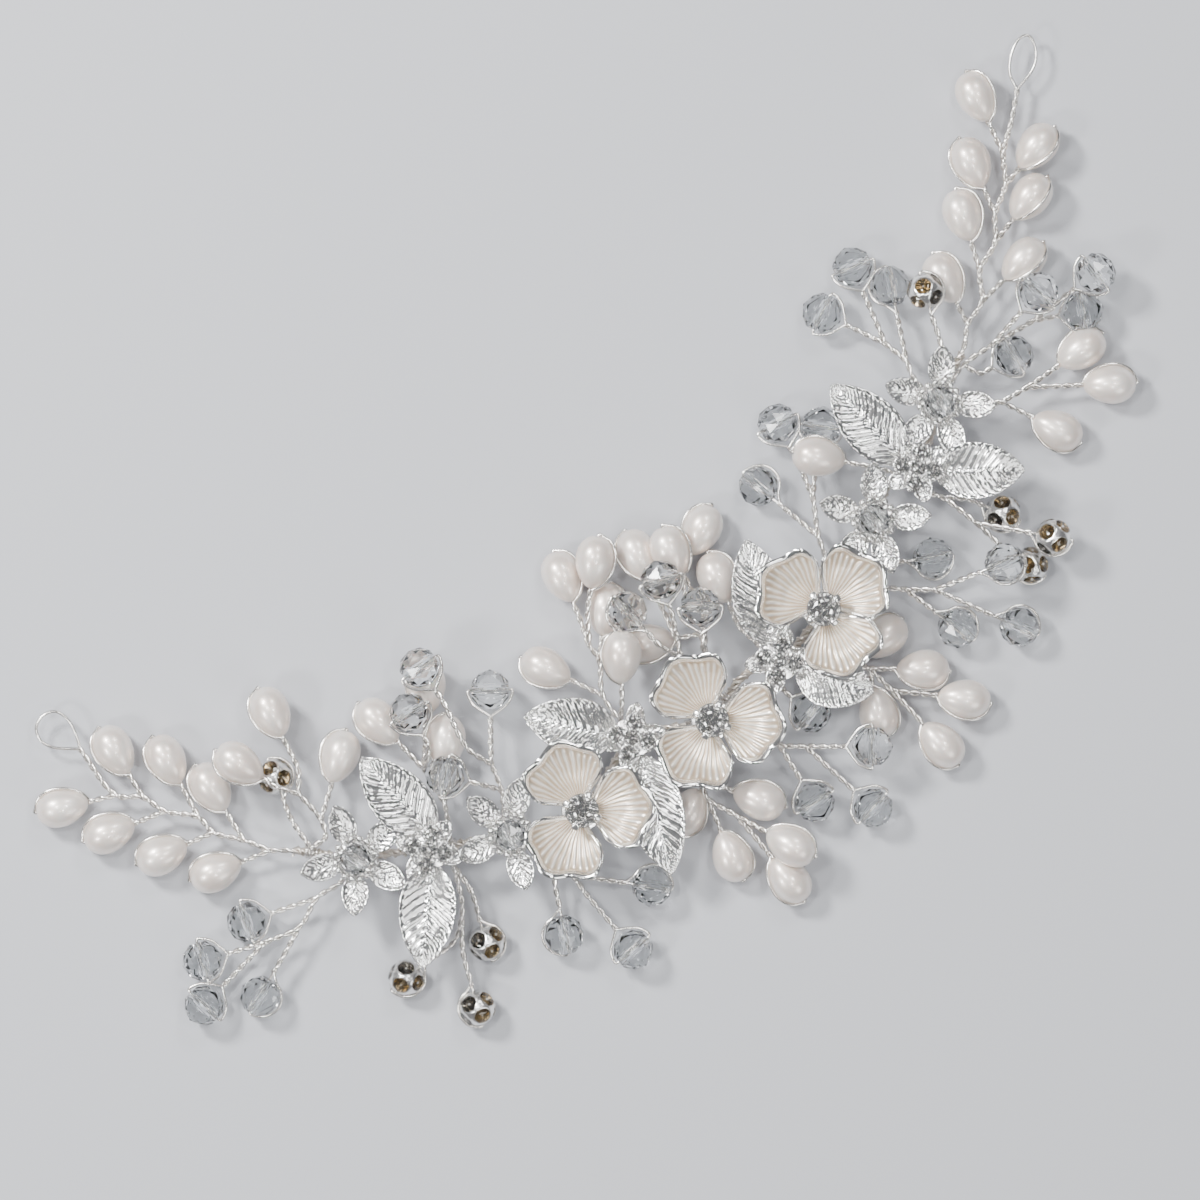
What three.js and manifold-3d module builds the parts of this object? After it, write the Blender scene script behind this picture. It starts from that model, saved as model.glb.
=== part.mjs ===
// Wired hair vine for a bridal hairstyle: a twisted wire spine with pearls, faceted beads,
// enamelled flowers and stamped leaves bound on, and a small wire loop at each end.
// Millimetres. X runs from loop to loop, Z points away from the head, Z = 0 is the hair side.
import * as THREE from 'three';
import * as BufferGeometryUtils from 'three/addons/utils/BufferGeometryUtils.js';
import Module from 'manifold-3d';

const wasm = await Module();
wasm.setup();

// ---- driving dimensions ------------------------------------------------------------------
const GAP = 0.3; // clearance left between neighbouring pieces
const SPINE_RADIUS = 0.6; // two wires twisted together and wound
const TWIG_RADIUS = 0.45; // two 0.4 mm wires twisted together
const LOOP_RADIUS = 0.3; // the single wire of an end loop
const WIRE_STEP = 3.3; // length of wire between two cross-sections
const SIDES = { twig: 4, trunk: 5, bead: 6, hub: 8, stone: 8, plate: 10 }; // of round sections
const PEARL = { radius: 2.8, half: 3.9, swell: 0.12, reach: 3.9 };
const CRYSTAL = { radius: 3.0, half: 2.7, table: 1.3, girdle: 1.0, reach: 2.9 };
const BALL = { radius: 2.7, half: 2.5, table: 1.3, girdle: 0.9, reach: 2.6 };
const ENAMEL = { reach: 5.4, half: 4.9, thick: 0.45, cup: 0.06, lift: 7.1, tilt: 0.16, sides: 8, rings: 5 };
const SHANK = { radius: 2.3, plate: 3.4, plateBottom: 6.4, plateTop: 7.4 };
const STONE = { radius: 2.7, foot: 1.6, height: 2.2, bottom: 8.5 };
const STAR = {
  reach: 5.2, half: 2.9, width: 2.0, thick: 0.3, cup: 0.05, lift: 6.1, tilt: 0.2, sides: 6, rings: 4,
};
const STAR_PLATE = { radius: 2.9, bottom: 5.9, top: 6.5 };
const STAR_BEAD = 9.6; // height of the middle of a small flower's crystal
const LEAF = {
  halfWidth: 4.2, thick: 0.35, root: 6.4, tip: 7.6, arch: 1.2, fold: 0.12, sides: 8, rings: 6,
};
const BRIDGE = { radius: 3.4, bottom: 6.0, top: 6.7 };
const CLUSTER = { hub: 2.2, bottom: 7.0, hubTop: 7.6, stone: 1.5, ring: 2.2, stoneTop: 9.3, count: 4 };

// ---- wire routes, each a list of places that the wire passes -------------------------------
const SPINE = {
  left_tip: [[-81, 35.5, 3.2], [-80.5, 27, 3.4], [-77.5, 24.5, 3.4], [-76, 21, 3.4], [-72.5, 17.5, 3.4],
    [-72, 14.5, 3.4], [-69, 11, 3.5], [-66.5, 7.5, 3.6], [-65.1, 6.5, 3.6]],
  left_wing: [[-64, 5.6, 3.6], [-62.5, 4.5, 3.6], [-57, -0.5, 3.6], [-52, -3, 3.6], [-47.5, -5.5, 3.6],
    [-36.5, -10.5, 3.6], [-31.5, -12.5, 3.6], [-26, -13.5, 3.6], [-19, -11, 3.6], [-14, -9, 3.6],
    [-9.7, -10.6, 3.6]],
  centre: [[-8.5, -11.1, 3.6], [-6, -12.5, 3.6], [-3, -13.5, 3.6], [0, -12.5, 3.6], [3.3, -11.1, 3.6]],
  right_wing: [[4.7, -10.9, 3.6], [7.5, -11, 3.6], [10, -12, 3.6], [14, -11.5, 3.6], [19.5, -9.5, 3.6],
    [26.5, -6, 3.6], [33, -3, 3.6], [38, 0, 3.6], [42.5, -0.5, 3.6], [47, 2.5, 3.6], [50.5, 5.5, 3.6],
    [57.5, 9.6, 3.6]],
  right_tip: [[58.6, 10.5, 3.6], [60.5, 12.5, 3.6], [64, 14, 3.6], [66.5, 18, 3.4], [70.5, 20, 3.4],
    [73, 23.5, 3.4], [76.5, 26, 3.4], [79, 30, 3.4], [83, 33.5, 3.3], [86, 36.5, 3.2]],
};
const LOOPS = {
  left_tip: [[-81, 35.5, 3.2], [-80.3, 37.5, 3.2], [-80, 40, 3.2], [-80.8, 42, 3.2], [-82.5, 42.6, 3.2],
    [-84.4, 41.8, 3.2], [-85, 40, 3.2], [-84.3, 38.2, 3.2]],
  right_tip: [[86, 36.5, 3.2], [86.4, 39, 3.2], [88.2, 41.2, 3.2], [90.5, 42.4, 3.2], [91.8, 42, 3.2],
    [91.5, 39.8, 3.2], [89.8, 37.8, 3.2]],
};

// One pearl to a twig on the two tips: its middle, and where its twig leaves the spine.
const TIP_PEARLS = {
  left_tip: [[[-88, 30, 2.9], [-80.5, 27, 3.4]], [[-77, 32.5, 2.9], [-77.5, 24.5, 3.4]],
    [[-84.5, 23, 2.9], [-76, 21, 3.4]], [[-71.5, 27, 2.9], [-72.5, 17.5, 3.4]],
    [[-80, 16, 2.9], [-72, 14.5, 3.4]], [[-68.5, 20, 2.9], [-69, 11, 3.5]],
    [[-75, 9.5, 2.9], [-66.5, 7.5, 3.6]]],
  right_tip: [[[61.5, 20, 2.9], [60.5, 12.5, 3.6]], [[72.5, 15.5, 2.9], [64, 14, 3.6]],
    [[69, 26, 2.9], [66.5, 18, 3.4]], [[78.5, 22.5, 2.9], [70.5, 20, 3.4]],
    [[74.5, 31.5, 2.9], [73, 23.5, 3.4]], [[83.5, 28, 2.9], [76.5, 26, 3.4]],
    [[80.5, 39, 2.9], [79, 30, 3.4]]],
};

// A spray is a trunk of twisted wire and its twigs: bead, its middle, places from the fork on.
const SPRAYS = {
  left_flower_spray: { body: 'left_wing', trunk: [[-61.5, 4.5, 5], [-59, 4.5, 5], [-58, 7, 5.2],
    [-58.5, 12, 6.4]], twigs: [
    ['ball', [-60, 16, 2.8], [[-61.5, 4.5, 5], [-61.5, 9.5, 4.4]]],
    ['pearl', [-63, 20.5, 7.2], [[-58.5, 12, 6.4], [-60.5, 14.5, 7.2]]],
    ['pearl', [-55, 24, 5], [[-58.5, 12, 6.4], [-56.5, 15, 6.2]]],
    ['pearl', [-50.5, 13, 4], [[-58, 7, 5.2]]]] },
  left_crystal_spray: { body: 'left_wing', trunk: [[-60.5, -2, 4], [-65, -2, 4], [-69.5, -4, 4],
    [-75, -3, 4]], twigs: [
    ['crystal', [-75.5, 1, 3.1], [[-65, -2, 4]]],
    ['crystal', [-84, 0, 3.1], [[-75, -3, 4]]],
    ['crystal', [-87.5, -5.5, 3.1], [[-75, -3, 4]]],
    ['crystal', [-80, -9, 3.1], [[-69.5, -4, 4], [-72.5, -5.5, 4]]]] },
  left_mixed_spray: { body: 'left_wing', trunk: [[-44, -5.5, 5], [-42, -1.5, 4.2],
    [-41.5, 4.5, 3.8]], twigs: [
    ['pearl', [-43, 14, 3.1], [[-41.5, 4.5, 3.8], [-42, 7.5, 3.8]]],
    ['crystal', [-38.5, 12.5, 7.8], [[-41.5, 4.5, 3.8], [-39, 7, 6.4]]],
    ['pearl', [-34.5, 14, 3], [[-41.5, 4.5, 3.8], [-38.5, 8.5, 3.2]]],
    ['pearl', [-36.5, 6, 4], [[-42, -1.5, 4.2]]]] },
  left_high_crystal_spray: { body: 'left_wing', trunk: [[-36.5, -9, 5], [-34, -4.5, 5.5],
    [-33, -0.5, 6.8]], twigs: [
    ['crystal', [-33.5, 17, 8.6], [[-33, -0.5, 6.8], [-34.5, 3.5, 8.2], [-33.5, 11, 8.6]]],
    ['crystal', [-27, 8.5, 5], [[-33, -0.5, 6.8]]],
    ['crystal', [-39.5, 2, 8.4], [[-34, -4.5, 5.5], [-35.5, -2.5, 7.4]]]] },
  left_ball_spray: { body: 'left_wing', trunk: [[-45.5, -7.5, 4.8], [-46, -9.5, 4.4], [-48, -14.5, 4],
    [-49, -16, 3.9]], twigs: [
    ['ball', [-61, -19, 2.8], [[-49, -16, 3.9], [-52, -18.5, 3.6]]],
    ['ball', [-48.5, -21.5, 2.8], [[-46, -9.5, 4.4], [-46, -14, 4.2]]],
    ['ball', [-55, -28.5, 2.8], [[-49, -16, 3.9], [-52, -20.5, 3.6]]]] },
  left_low_crystal_spray: { body: 'left_wing', trunk: [[-31, -15.5, 4.8], [-33, -18, 4.5],
    [-32.5, -20, 4.4], [-31.5, -21.5, 4.4]], twigs: [
    ['crystal', [-38.5, -27, 3.1], [[-33, -18, 4.5], [-35, -19.5, 4.3]]],
    ['crystal', [-31.5, -34.5, 3.1], [[-32.5, -20, 4.4], [-32.5, -23.5, 4.2]]],
    ['crystal', [-24, -28.5, 3.1], [[-31.5, -21.5, 4.4]]]] },
  left_pearl_spray: { body: 'left_wing', trunk: [[-14, -6, 4.9], [-14, -1.5, 5], [-11.5, 3, 5],
    [-11.5, 5.5, 5.2]], twigs: [
    ['pearl', [-18.5, 6.5, 3.4], [[-14, -1.5, 5]]],
    ['pearl', [-9, 16, 2.9], [[-11.5, 5.5, 5.2], [-10.5, 9, 4.4]]],
    ['pearl', [-3.5, 15, 5.6], [[-11.5, 5.5, 5.2], [-9, 9.5, 5.8]]],
    ['pearl', [-6.5, 8.5, 3.2], [[-11.5, 3, 5]]],
    ['pearl', [-8.5, 1.5, 8.6], [[-14, -6, 4.9], [-12, -3.5, 7.4]]]] },
  centre_high_crystal_spray: { body: 'centre', trunk: [[-3.5, -8.5, 5.2], [-2, -5, 5.6],
    [-1.5, -3.5, 6], [-0.5, -1, 6.5]], twigs: [
    ['crystal', [-4, 6.5, 9], [[-1.5, -3.5, 6], [-3, -0.5, 7.8]]],
    ['crystal', [2.5, 7.5, 9.2], [[-0.5, -1, 6.5], [1, 2.5, 8]]],
    ['pearl', [1.5, 12.5, 2.9], [[-0.5, -1, 6.5], [0.3, 4.5, 4.4]]]] },
  centre_upper_pearl_spray: { body: 'centre', trunk: [[-1, -8.5, 5.2], [1, -6, 5.2],
    [3.5, -2.5, 4.4]], twigs: [
    ['crystal', [5, 1, 8], [[1, -6, 5.2], [2, -4, 7.2]]],
    ['pearl', [6, 10, 5.2], [[3.5, -2.5, 4.4], [4, 2.5, 4.8]]],
    ['pearl', [11.5, 10, 2.9], [[3.5, -2.5, 4.4], [5, 2, 3.2], [6.2, 7, 2.8]]],
    ['pearl', [-4.2, 1, 2.9], [[3.5, -2.5, 4.4], [1, -1.5, 3.6]]]] },
  centre_lower_pearl_spray: { body: 'centre', trunk: [[-8, -17.5, 5], [-9.5, -20.5, 4.8],
    [-10, -22.5, 4.6], [-8, -27, 4.4]], twigs: [
    ['pearl', [-4, -27, 4.6], [[-9.5, -20.5, 4.8], [-8, -21.5, 4.8]]],
    ['pearl', [-12, -31.5, 2.9], [[-10, -22.5, 4.6]]],
    ['pearl', [-4, -35, 5.8], [[-8, -27, 4.4]]],
    ['pearl', [-7, -39, 2.9], [[-8, -27, 4.4], [-7.5, -31.5, 4]]],
    ['pearl', [-13.5, -22.5, 2.9], [[-9.5, -20.5, 4.8]]]] },
  centre_crystal_spray: { body: 'centre', trunk: [[1, -17, 5], [3, -22, 5], [6, -24.5, 5]], twigs: [
    ['crystal', [14, -30, 6.2], [[6, -24.5, 5]]],
    ['crystal', [2.5, -32, 3.1], [[3, -22, 5]]],
    ['crystal', [9, -37.5, 3.1], [[6, -24.5, 5]]]] },
  right_two_twig_spray: { body: 'right_wing', trunk: [[8, -16, 4.4], [8.5, -13.5, 5.1],
    [9, -10, 5.1], [8, -4.5, 4.2]], twigs: [
    ['crystal', [9.5, -21, 3.1], [[8, -16, 4.4]]],
    ['pearl', [9.5, 3, 3.6], [[8, -4.5, 4.2]]]] },
  right_crystal_spray: { body: 'right_wing', trunk: [[22.5, -8.5, 4.9], [26, -10, 4.9],
    [31, -14, 4.9], [34.5, -16.5, 4.8]], twigs: [
    ['crystal', [37, -12.5, 3.2], [[26, -10, 4.9], [32, -10, 4.4]]],
    ['crystal', [34, -23, 3.1], [[31, -14, 4.9]]],
    ['crystal', [45, -19, 7.2], [[34.5, -16.5, 4.8]]],
    ['crystal', [41.5, -28, 3.1], [[34.5, -16.5, 4.8]]]] },
  right_pearl_spray: { body: 'right_wing', trunk: [[19.5, -13.5, 4.9], [19, -18.5, 4.9],
    [20, -20.5, 4.9], [21, -25, 4.6]], twigs: [
    ['pearl', [17.5, -26.5, 2.9], [[20, -20.5, 4.9]]],
    ['pearl', [24.5, -18, 2.9], [[19, -18.5, 4.9]]],
    ['pearl', [26.5, -25, 3.2], [[20, -20.5, 4.9]]],
    ['pearl', [29, -32, 2.9], [[21, -25, 4.6]]],
    ['pearl', [22.5, -35.5, 2.9], [[21, -25, 4.6]]]] },
  right_upper_crystal_spray: { body: 'right_wing', trunk: [[23, -7, 5], [24, -4, 5], [25, -0.5, 4.8],
    [27.5, 4.5, 4.6]], twigs: [
    ['crystal', [34.5, 12.5, 3.1], [[27.5, 4.5, 4.6], [29.5, 7, 4.2]]],
    ['crystal', [29.5, 16.5, 3.1], [[27.5, 4.5, 4.6], [28.5, 9, 4.2]]],
    ['crystal', [22, 10.5, 3.1], [[25, -0.5, 4.8]]]] },
  right_ball_spray: { body: 'right_wing', trunk: [[40.5, -1, 4.9], [41.5, -4, 4.9], [43, -6, 5],
    [45, -12, 5.2]], twigs: [
    ['pearl', [31.5, 9, 7.4], [[40.5, -1, 4.9], [38, 2.5, 6.4]]],
    ['ball', [49, -13, 3.4], [[43, -6, 5], [46, -8.5, 4.6]]],
    ['ball', [53, -20, 5.6], [[45, -12, 5.2]]],
    ['ball', [48, -21.5, 2.8], [[45, -12, 5.2], [46, -16.5, 4.4]]]] },
  right_mixed_spray: { body: 'right_wing', trunk: [[50, 7, 5.2], [49.5, 11, 5], [50, 13, 5],
    [49, 17, 4.6]], twigs: [
    ['crystal', [51.5, 29, 3.1], [[49, 17, 4.6]]],
    ['crystal', [44, 26, 3.1], [[49, 17, 4.6]]],
    ['crystal', [54.5, 23.5, 3.1], [[50, 13, 5]]],
    ['ball', [58, 20, 7.2], [[50, 7, 5.2], [55, 11.5, 5.8]]]] },
  right_high_crystal_spray: { body: 'right_wing', trunk: [[53.5, 7, 5], [56.5, 8, 5.2], [61.5, 8, 5.4],
    [68.5, 7.5, 5]], twigs: [
    ['crystal', [71.5, 10.5, 7.8], [[61.5, 8, 5.4]]],
    ['crystal', [80, 8, 5.8], [[68.5, 7.5, 5]]],
    ['crystal', [75.5, 4.5, 3.1], [[68.5, 7.5, 5]]],
    ['crystal', [63.5, 5, 3.1], [[56.5, 8, 5.2], [58, 5.5, 4.6]]]] },
  right_outer_pearl_spray: { body: 'right_wing', trunk: [[51.5, 4, 5], [56, 1.5, 4.6], [58, 0.5, 4.5],
    [62.5, 0, 4]], twigs: [
    ['pearl', [72, 0, 2.9], [[62.5, 0, 4]]],
    ['pearl', [72.5, -6.5, 2.9], [[62.5, 0, 4]]],
    ['pearl', [62.5, -7.5, 2.9], [[58, 0.5, 4.5]]]] },
};

// Ornaments bound on top of the spine: places seen from above, headings in degrees from +X.
const ENAMEL_FLOWERS = {
  left: { body: 'left_wing', at: [-26, -13.5], petals: [82, -30, -150] },
  centre: { body: 'centre', at: [-3, -13.5], petals: [89, -38, -150] },
  right: { body: 'right_wing', at: [19.5, -9.5], petals: [115, 6, -99] },
};
const SMALL_FLOWERS = {
  outer_left: { body: 'left_wing', at: [-57, -0.5], petals: [77, 160, -126, -64, 5] },
  inner_left: { body: 'left_wing', at: [-36.5, -10.5], petals: [46, 105, 170, -109, -40] },
  inner_right: { body: 'right_wing', at: [33, -3], petals: [55, 128, -161, -106, -31] },
  outer_right: { body: 'right_wing', at: [50.5, 5.5], petals: [52, 127, -163, -105, -38] },
};
const LEAF_PAIRS = {
  outer_left: { body: 'left_wing', at: [-47.5, -5.5],
    leaves: [[[-45.9, -4], [-48, 11]], [[-48.5, -7.5], [-58, -19]]] },
  inner_left: { body: 'left_wing', at: [-14, -9],
    leaves: [[[-15.5, -7.5], [-25, 2.5]], [[-14.5, -12], [-20.5, -28.5]]] },
  inner_right: { body: 'right_wing', at: [10, -12],
    leaves: [[[10.5, -9.5], [16, 5]], [[11.5, -14.5], [18.5, -23.5]]] },
  outer_right: { body: 'right_wing', at: [42.5, -0.5],
    leaves: [[[41.5, 1.5], [39, 16.5]], [[44.5, -2.5], [55, -9.5]]] },
};

// ---- finishes ------------------------------------------------------------------------------
const finish = (color, roughness, metalness) =>
  new THREE.MeshStandardMaterial({ color, roughness, metalness });
const FINISHES = {
  wire: () => finish(0xd9d4cb, 0.3, 1),
  pearl: () => finish(0xf3ede4, 0.25, 0),
  crystal: () => finish(0xdfe6ea, 0.05, 0),
  enamel: () => finish(0xe6ddcd, 0.35, 0.2),
  silver: () => finish(0xdcdcda, 0.22, 1),
  rhinestone: () => finish(0xe8ecee, 0.05, 0),
};

// ---- solids --------------------------------------------------------------------------------
const vector = (p) => new THREE.Vector3(...p);
const UP = vector([0, 0, 1]);

function solidOf(geometry) {
  const bare = geometry.clone();
  bare.deleteAttribute('normal');
  bare.deleteAttribute('uv');
  const merged = BufferGeometryUtils.mergeVertices(bare, 1e-4);
  return new wasm.Manifold(new wasm.Mesh({
    numProp: 3,
    vertProperties: new Float32Array(merged.attributes.position.array),
    triVerts: new Uint32Array(merged.index.array),
  }));
}

function geometryOf(solid) {
  const mesh = solid.getMesh();
  const geometry = new THREE.BufferGeometry();
  geometry.setAttribute('position', new THREE.BufferAttribute(mesh.vertProperties, 3));
  geometry.setIndex(new THREE.BufferAttribute(mesh.triVerts, 1));
  const faceted = geometry.toNonIndexed();
  faceted.computeVertexNormals();
  return faceted;
}

const join = (solids) => solids.reduce((whole, solid) => whole.add(solid));

// The biggest body of a solid: an offcut left by trimming is thrown away.
function largest(solid) {
  const bodies = solid.decompose();
  return bodies.reduce((a, b) => (b.volume() > a.volume() ? b : a));
}

// A round wire along a smooth curve through the given places.
function wire(points, radius, sides) {
  const curve = new THREE.CatmullRomCurve3(points.map(vector), false, 'centripetal');
  const section = new THREE.Shape();
  for (let i = 0; i < sides; i++) {
    const a = (2 * Math.PI * i) / sides;
    if (i === 0) section.moveTo(radius * Math.cos(a), radius * Math.sin(a));
    else section.lineTo(radius * Math.cos(a), radius * Math.sin(a));
  }
  section.closePath();
  const steps = Math.max(2, Math.round(curve.getLength() / WIRE_STEP));
  return solidOf(new THREE.ExtrudeGeometry(section, { steps, extrudePath: curve, bevelEnabled: false }));
}

// A body turned about +Y from a half outline, then laid along a heading with its middle at a place.
function turned(profile, sides, at, heading) {
  const geometry = new THREE.LatheGeometry(profile.map(([r, y]) => new THREE.Vector2(r, y)), sides);
  const spin = new THREE.Quaternion().setFromUnitVectors(new THREE.Vector3(0, 1, 0), heading);
  geometry.applyQuaternion(spin);
  geometry.translate(...at);
  return solidOf(geometry);
}

// Drop pearl: the broad end points away from its twig.
function pearl(at, heading, grow) {
  const rings = 5;
  const profile = [];
  for (let i = 0; i <= rings; i++) {
    const a = (Math.PI * i) / rings;
    const along = -Math.cos(a);
    const width = i % rings === 0 ? 0 : Math.sin(a) * (1 + PEARL.swell * along);
    profile.push([width * (PEARL.radius + grow), along * (PEARL.half + grow)]);
  }
  return turned(profile, SIDES.bead, at, heading);
}

// Faceted bead or openwork ball: flat tables at the two holes and a belt round the middle.
function cut(shape, at, heading, grow) {
  const profile = [
    [0, -shape.half - grow], [shape.table + grow, -shape.half - grow],
    [shape.radius + grow, -shape.girdle], [shape.radius + grow, shape.girdle],
    [shape.table + grow, shape.half + grow], [0, shape.half + grow],
  ];
  return turned(profile, SIDES.bead, at, heading);
}

const BEADS = {
  pearl: { shape: PEARL, make: pearl },
  crystal: { shape: CRYSTAL, make: (at, heading, grow) => cut(CRYSTAL, at, heading, grow) },
  ball: { shape: BALL, make: (at, heading, grow) => cut(BALL, at, heading, grow) },
};

const headingOf = (from, to) => vector(to).sub(vector(from)).normalize();

// The place on the line from a bead back to its twig, so far from the bead's middle.
const neckOf = (at, heading, reach) => vector(at).addScaledVector(heading, -reach).toArray();

// One twig: wire from the fork into the bead, with the bead on its end.
function twig([kind, at, way], grow) {
  const { shape, make } = BEADS[kind];
  const heading = headingOf(way[way.length - 1], at);
  const inside = neckOf(at, heading, shape.reach / 2);
  const neck = neckOf(at, heading, shape.reach);
  return join([wire([...way, neck, inside], TWIG_RADIUS + grow, SIDES.twig), make(at, heading, grow)]);
}

function spray({ trunk, twigs }, grow) {
  return join([wire(trunk, TWIG_RADIUS + grow, SIDES.trunk), ...twigs.map((t) => twig(t, grow))]);
}

// One length of spine that swings as one: main wire, its pearl twigs and an end loop.
function spine(name, grow) {
  const parts = [wire(SPINE[name], SPINE_RADIUS + grow, SIDES.trunk)];
  for (const [at, fork] of TIP_PEARLS[name] ?? []) {
    const heading = headingOf(fork, at);
    const neck = neckOf(at, heading, PEARL.reach + GAP - grow);
    parts.push(wire([fork, neck], TWIG_RADIUS + grow, SIDES.twig));
  }
  if (LOOPS[name]) {
    const loop = LOOPS[name];
    const half = Math.ceil(loop.length / 2);
    parts.push(wire(loop.slice(0, half + 1), LOOP_RADIUS + grow, SIDES.twig));
    parts.push(wire([...loop.slice(half - 1), loop[0]], LOOP_RADIUS + grow, SIDES.twig));
  }
  return join(parts);
}

// A thin blade from a squashed ball: long along +X, lifted and cupped by a rule of its own.
function blade(halfLength, halfWidth, thick, sides, rings, rise) {
  const geometry = new THREE.SphereGeometry(1, sides, rings);
  geometry.rotateZ(Math.PI / 2);
  const position = geometry.attributes.position;
  for (let i = 0; i < position.count; i++) {
    const x = position.getX(i) * halfLength;
    const y = position.getY(i) * halfWidth;
    position.setXYZ(i, x, y, position.getZ(i) * thick + rise(x, y));
  }
  return geometry;
}

// A petal of a flower: a blade that leaves the flower's middle on a heading, low at its inner
// end, with its sides and its outer half turned up.
function petal(at, degrees, shape, grow) {
  const { half, width = half, thick, cup, sides, rings } = shape;
  const rise = (x, y) => shape.lift + shape.tilt * (x + half) + cup * (Math.max(x, 0) ** 2 + y * y);
  const geometry = blade(half + grow, width + grow, thick + grow, sides, rings, rise);
  geometry.translate(shape.reach, 0, 0);
  geometry.rotateZ(THREE.MathUtils.degToRad(degrees));
  geometry.translate(at[0], at[1], 0);
  return solidOf(geometry);
}

function disc(at, radius, bottom, top, sides) {
  const geometry = new THREE.CylinderGeometry(radius, radius, top - bottom, sides);
  geometry.rotateX(Math.PI / 2);
  geometry.translate(at[0], at[1], (top + bottom) / 2);
  return solidOf(geometry);
}

// Three enamelled petals on a plate, with a shank down to the hair side that the spine runs through.
function enamelFlower({ at, petals }, grow) {
  const parts = petals.map((degrees) => petal(at, degrees, ENAMEL, grow));
  parts.push(disc(at, SHANK.plate + grow, SHANK.plateBottom - grow, SHANK.plateTop + grow, SIDES.plate));
  parts.push(disc(at, SHANK.radius + grow, 0, SHANK.plateBottom, SIDES.plate));
  return join(parts);
}

function setStone({ at }, grow) {
  const profile = [[0, 0], [STONE.foot + grow, 0], [STONE.radius + grow, STONE.height / 2],
    [STONE.foot + grow, STONE.height + grow], [0, STONE.height + grow]];
  return turned(profile, SIDES.stone, [...at, STONE.bottom], UP);
}

// Five stamped petals on a small plate.
function smallFlower({ at, petals }, grow) {
  const parts = petals.map((degrees) => petal(at, degrees, STAR, grow));
  const { radius, bottom, top } = STAR_PLATE;
  parts.push(disc(at, radius + grow, bottom - grow, top + grow, SIDES.plate));
  return join(parts);
}

const smallFlowerBead = ({ at }, grow) => cut(CRYSTAL, [...at, STAR_BEAD], UP, grow);

// One stamped leaf from its root to its tip, arched along and folded up a little on its midrib.
function leaf([root, tip], grow) {
  const middle = [(root[0] + tip[0]) / 2, (root[1] + tip[1]) / 2];
  const half = Math.hypot(tip[0] - root[0], tip[1] - root[1]) / 2;
  const climb = (LEAF.tip - LEAF.root) / (2 * half);
  const rise = (x, y) => (LEAF.root + LEAF.tip) / 2 + climb * x
    + LEAF.arch * (1 - (x / half) ** 2) + LEAF.fold * Math.abs(y);
  const { halfWidth, thick, sides, rings } = LEAF;
  const geometry = blade(half + grow, halfWidth + grow, thick + grow, sides, rings, rise);
  geometry.rotateZ(Math.atan2(tip[1] - root[1], tip[0] - root[0]));
  geometry.translate(...middle, 0);
  return solidOf(geometry);
}

function leafPair({ at, leaves }, grow) {
  const bridge = disc(at, BRIDGE.radius + grow, BRIDGE.bottom - grow, BRIDGE.top + grow, SIDES.hub);
  return join([bridge, ...leaves.map((l) => leaf(l, grow))]);
}

// Small stones in cups on a hub, glued over the bridge of a leaf pair.
function cluster({ at }, grow) {
  const parts = [disc(at, CLUSTER.hub + grow, CLUSTER.bottom - grow, CLUSTER.hubTop, SIDES.hub)];
  for (let i = 0; i < CLUSTER.count; i++) {
    const a = (2 * Math.PI * (i + 0.5)) / CLUSTER.count;
    const place = [at[0] + CLUSTER.ring * Math.cos(a), at[1] + CLUSTER.ring * Math.sin(a)];
    parts.push(disc(place, CLUSTER.stone + grow, CLUSTER.bottom + GAP, CLUSTER.stoneTop + grow, SIDES.bead));
  }
  return join(parts);
}

// ---- the scene -------------------------------------------------------------------------------
const vine = new THREE.Group();
// Each length of the vine hangs from its neighbour at the bare wire between them.
const BENDS = {
  centre: { parent: null, at: [0, 0, 0] },
  left_wing: { parent: 'centre', at: [-9.1, -10.8, 3.6] },
  left_tip: { parent: 'left_wing', at: [-64.5, 6, 3.6] },
  right_wing: { parent: 'centre', at: [4, -11, 3.6] },
  right_tip: { parent: 'right_wing', at: [58, 10, 3.6] },
};
const lengths = {};
for (const [name, { parent, at }] of Object.entries(BENDS)) {
  const group = new THREE.Group();
  const origin = parent ? vector(BENDS[parent].at) : new THREE.Vector3();
  group.position.copy(vector(at).sub(origin));
  (parent ? lengths[parent] : vine).add(group);
  lengths[name] = group;
}

const clearances = []; // the space that each piece so far keeps clear round it

// Adds a piece to its length of the vine, trimmed clear of all pieces already there.
function add(body, name, material, make, anchor) {
  const trimmed = clearances.reduce((solid, clearance) => solid.subtract(clearance), make(0));
  const solid = largest(trimmed);
  clearances.push(make(GAP));
  const geometry = geometryOf(solid);
  geometry.translate(...anchor.map((value) => -value));
  const mesh = new THREE.Mesh(geometry, material);
  mesh.name = name;
  mesh.position.copy(vector(anchor).sub(vector(BENDS[body].at)));
  lengths[body].add(mesh);
}

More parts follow.
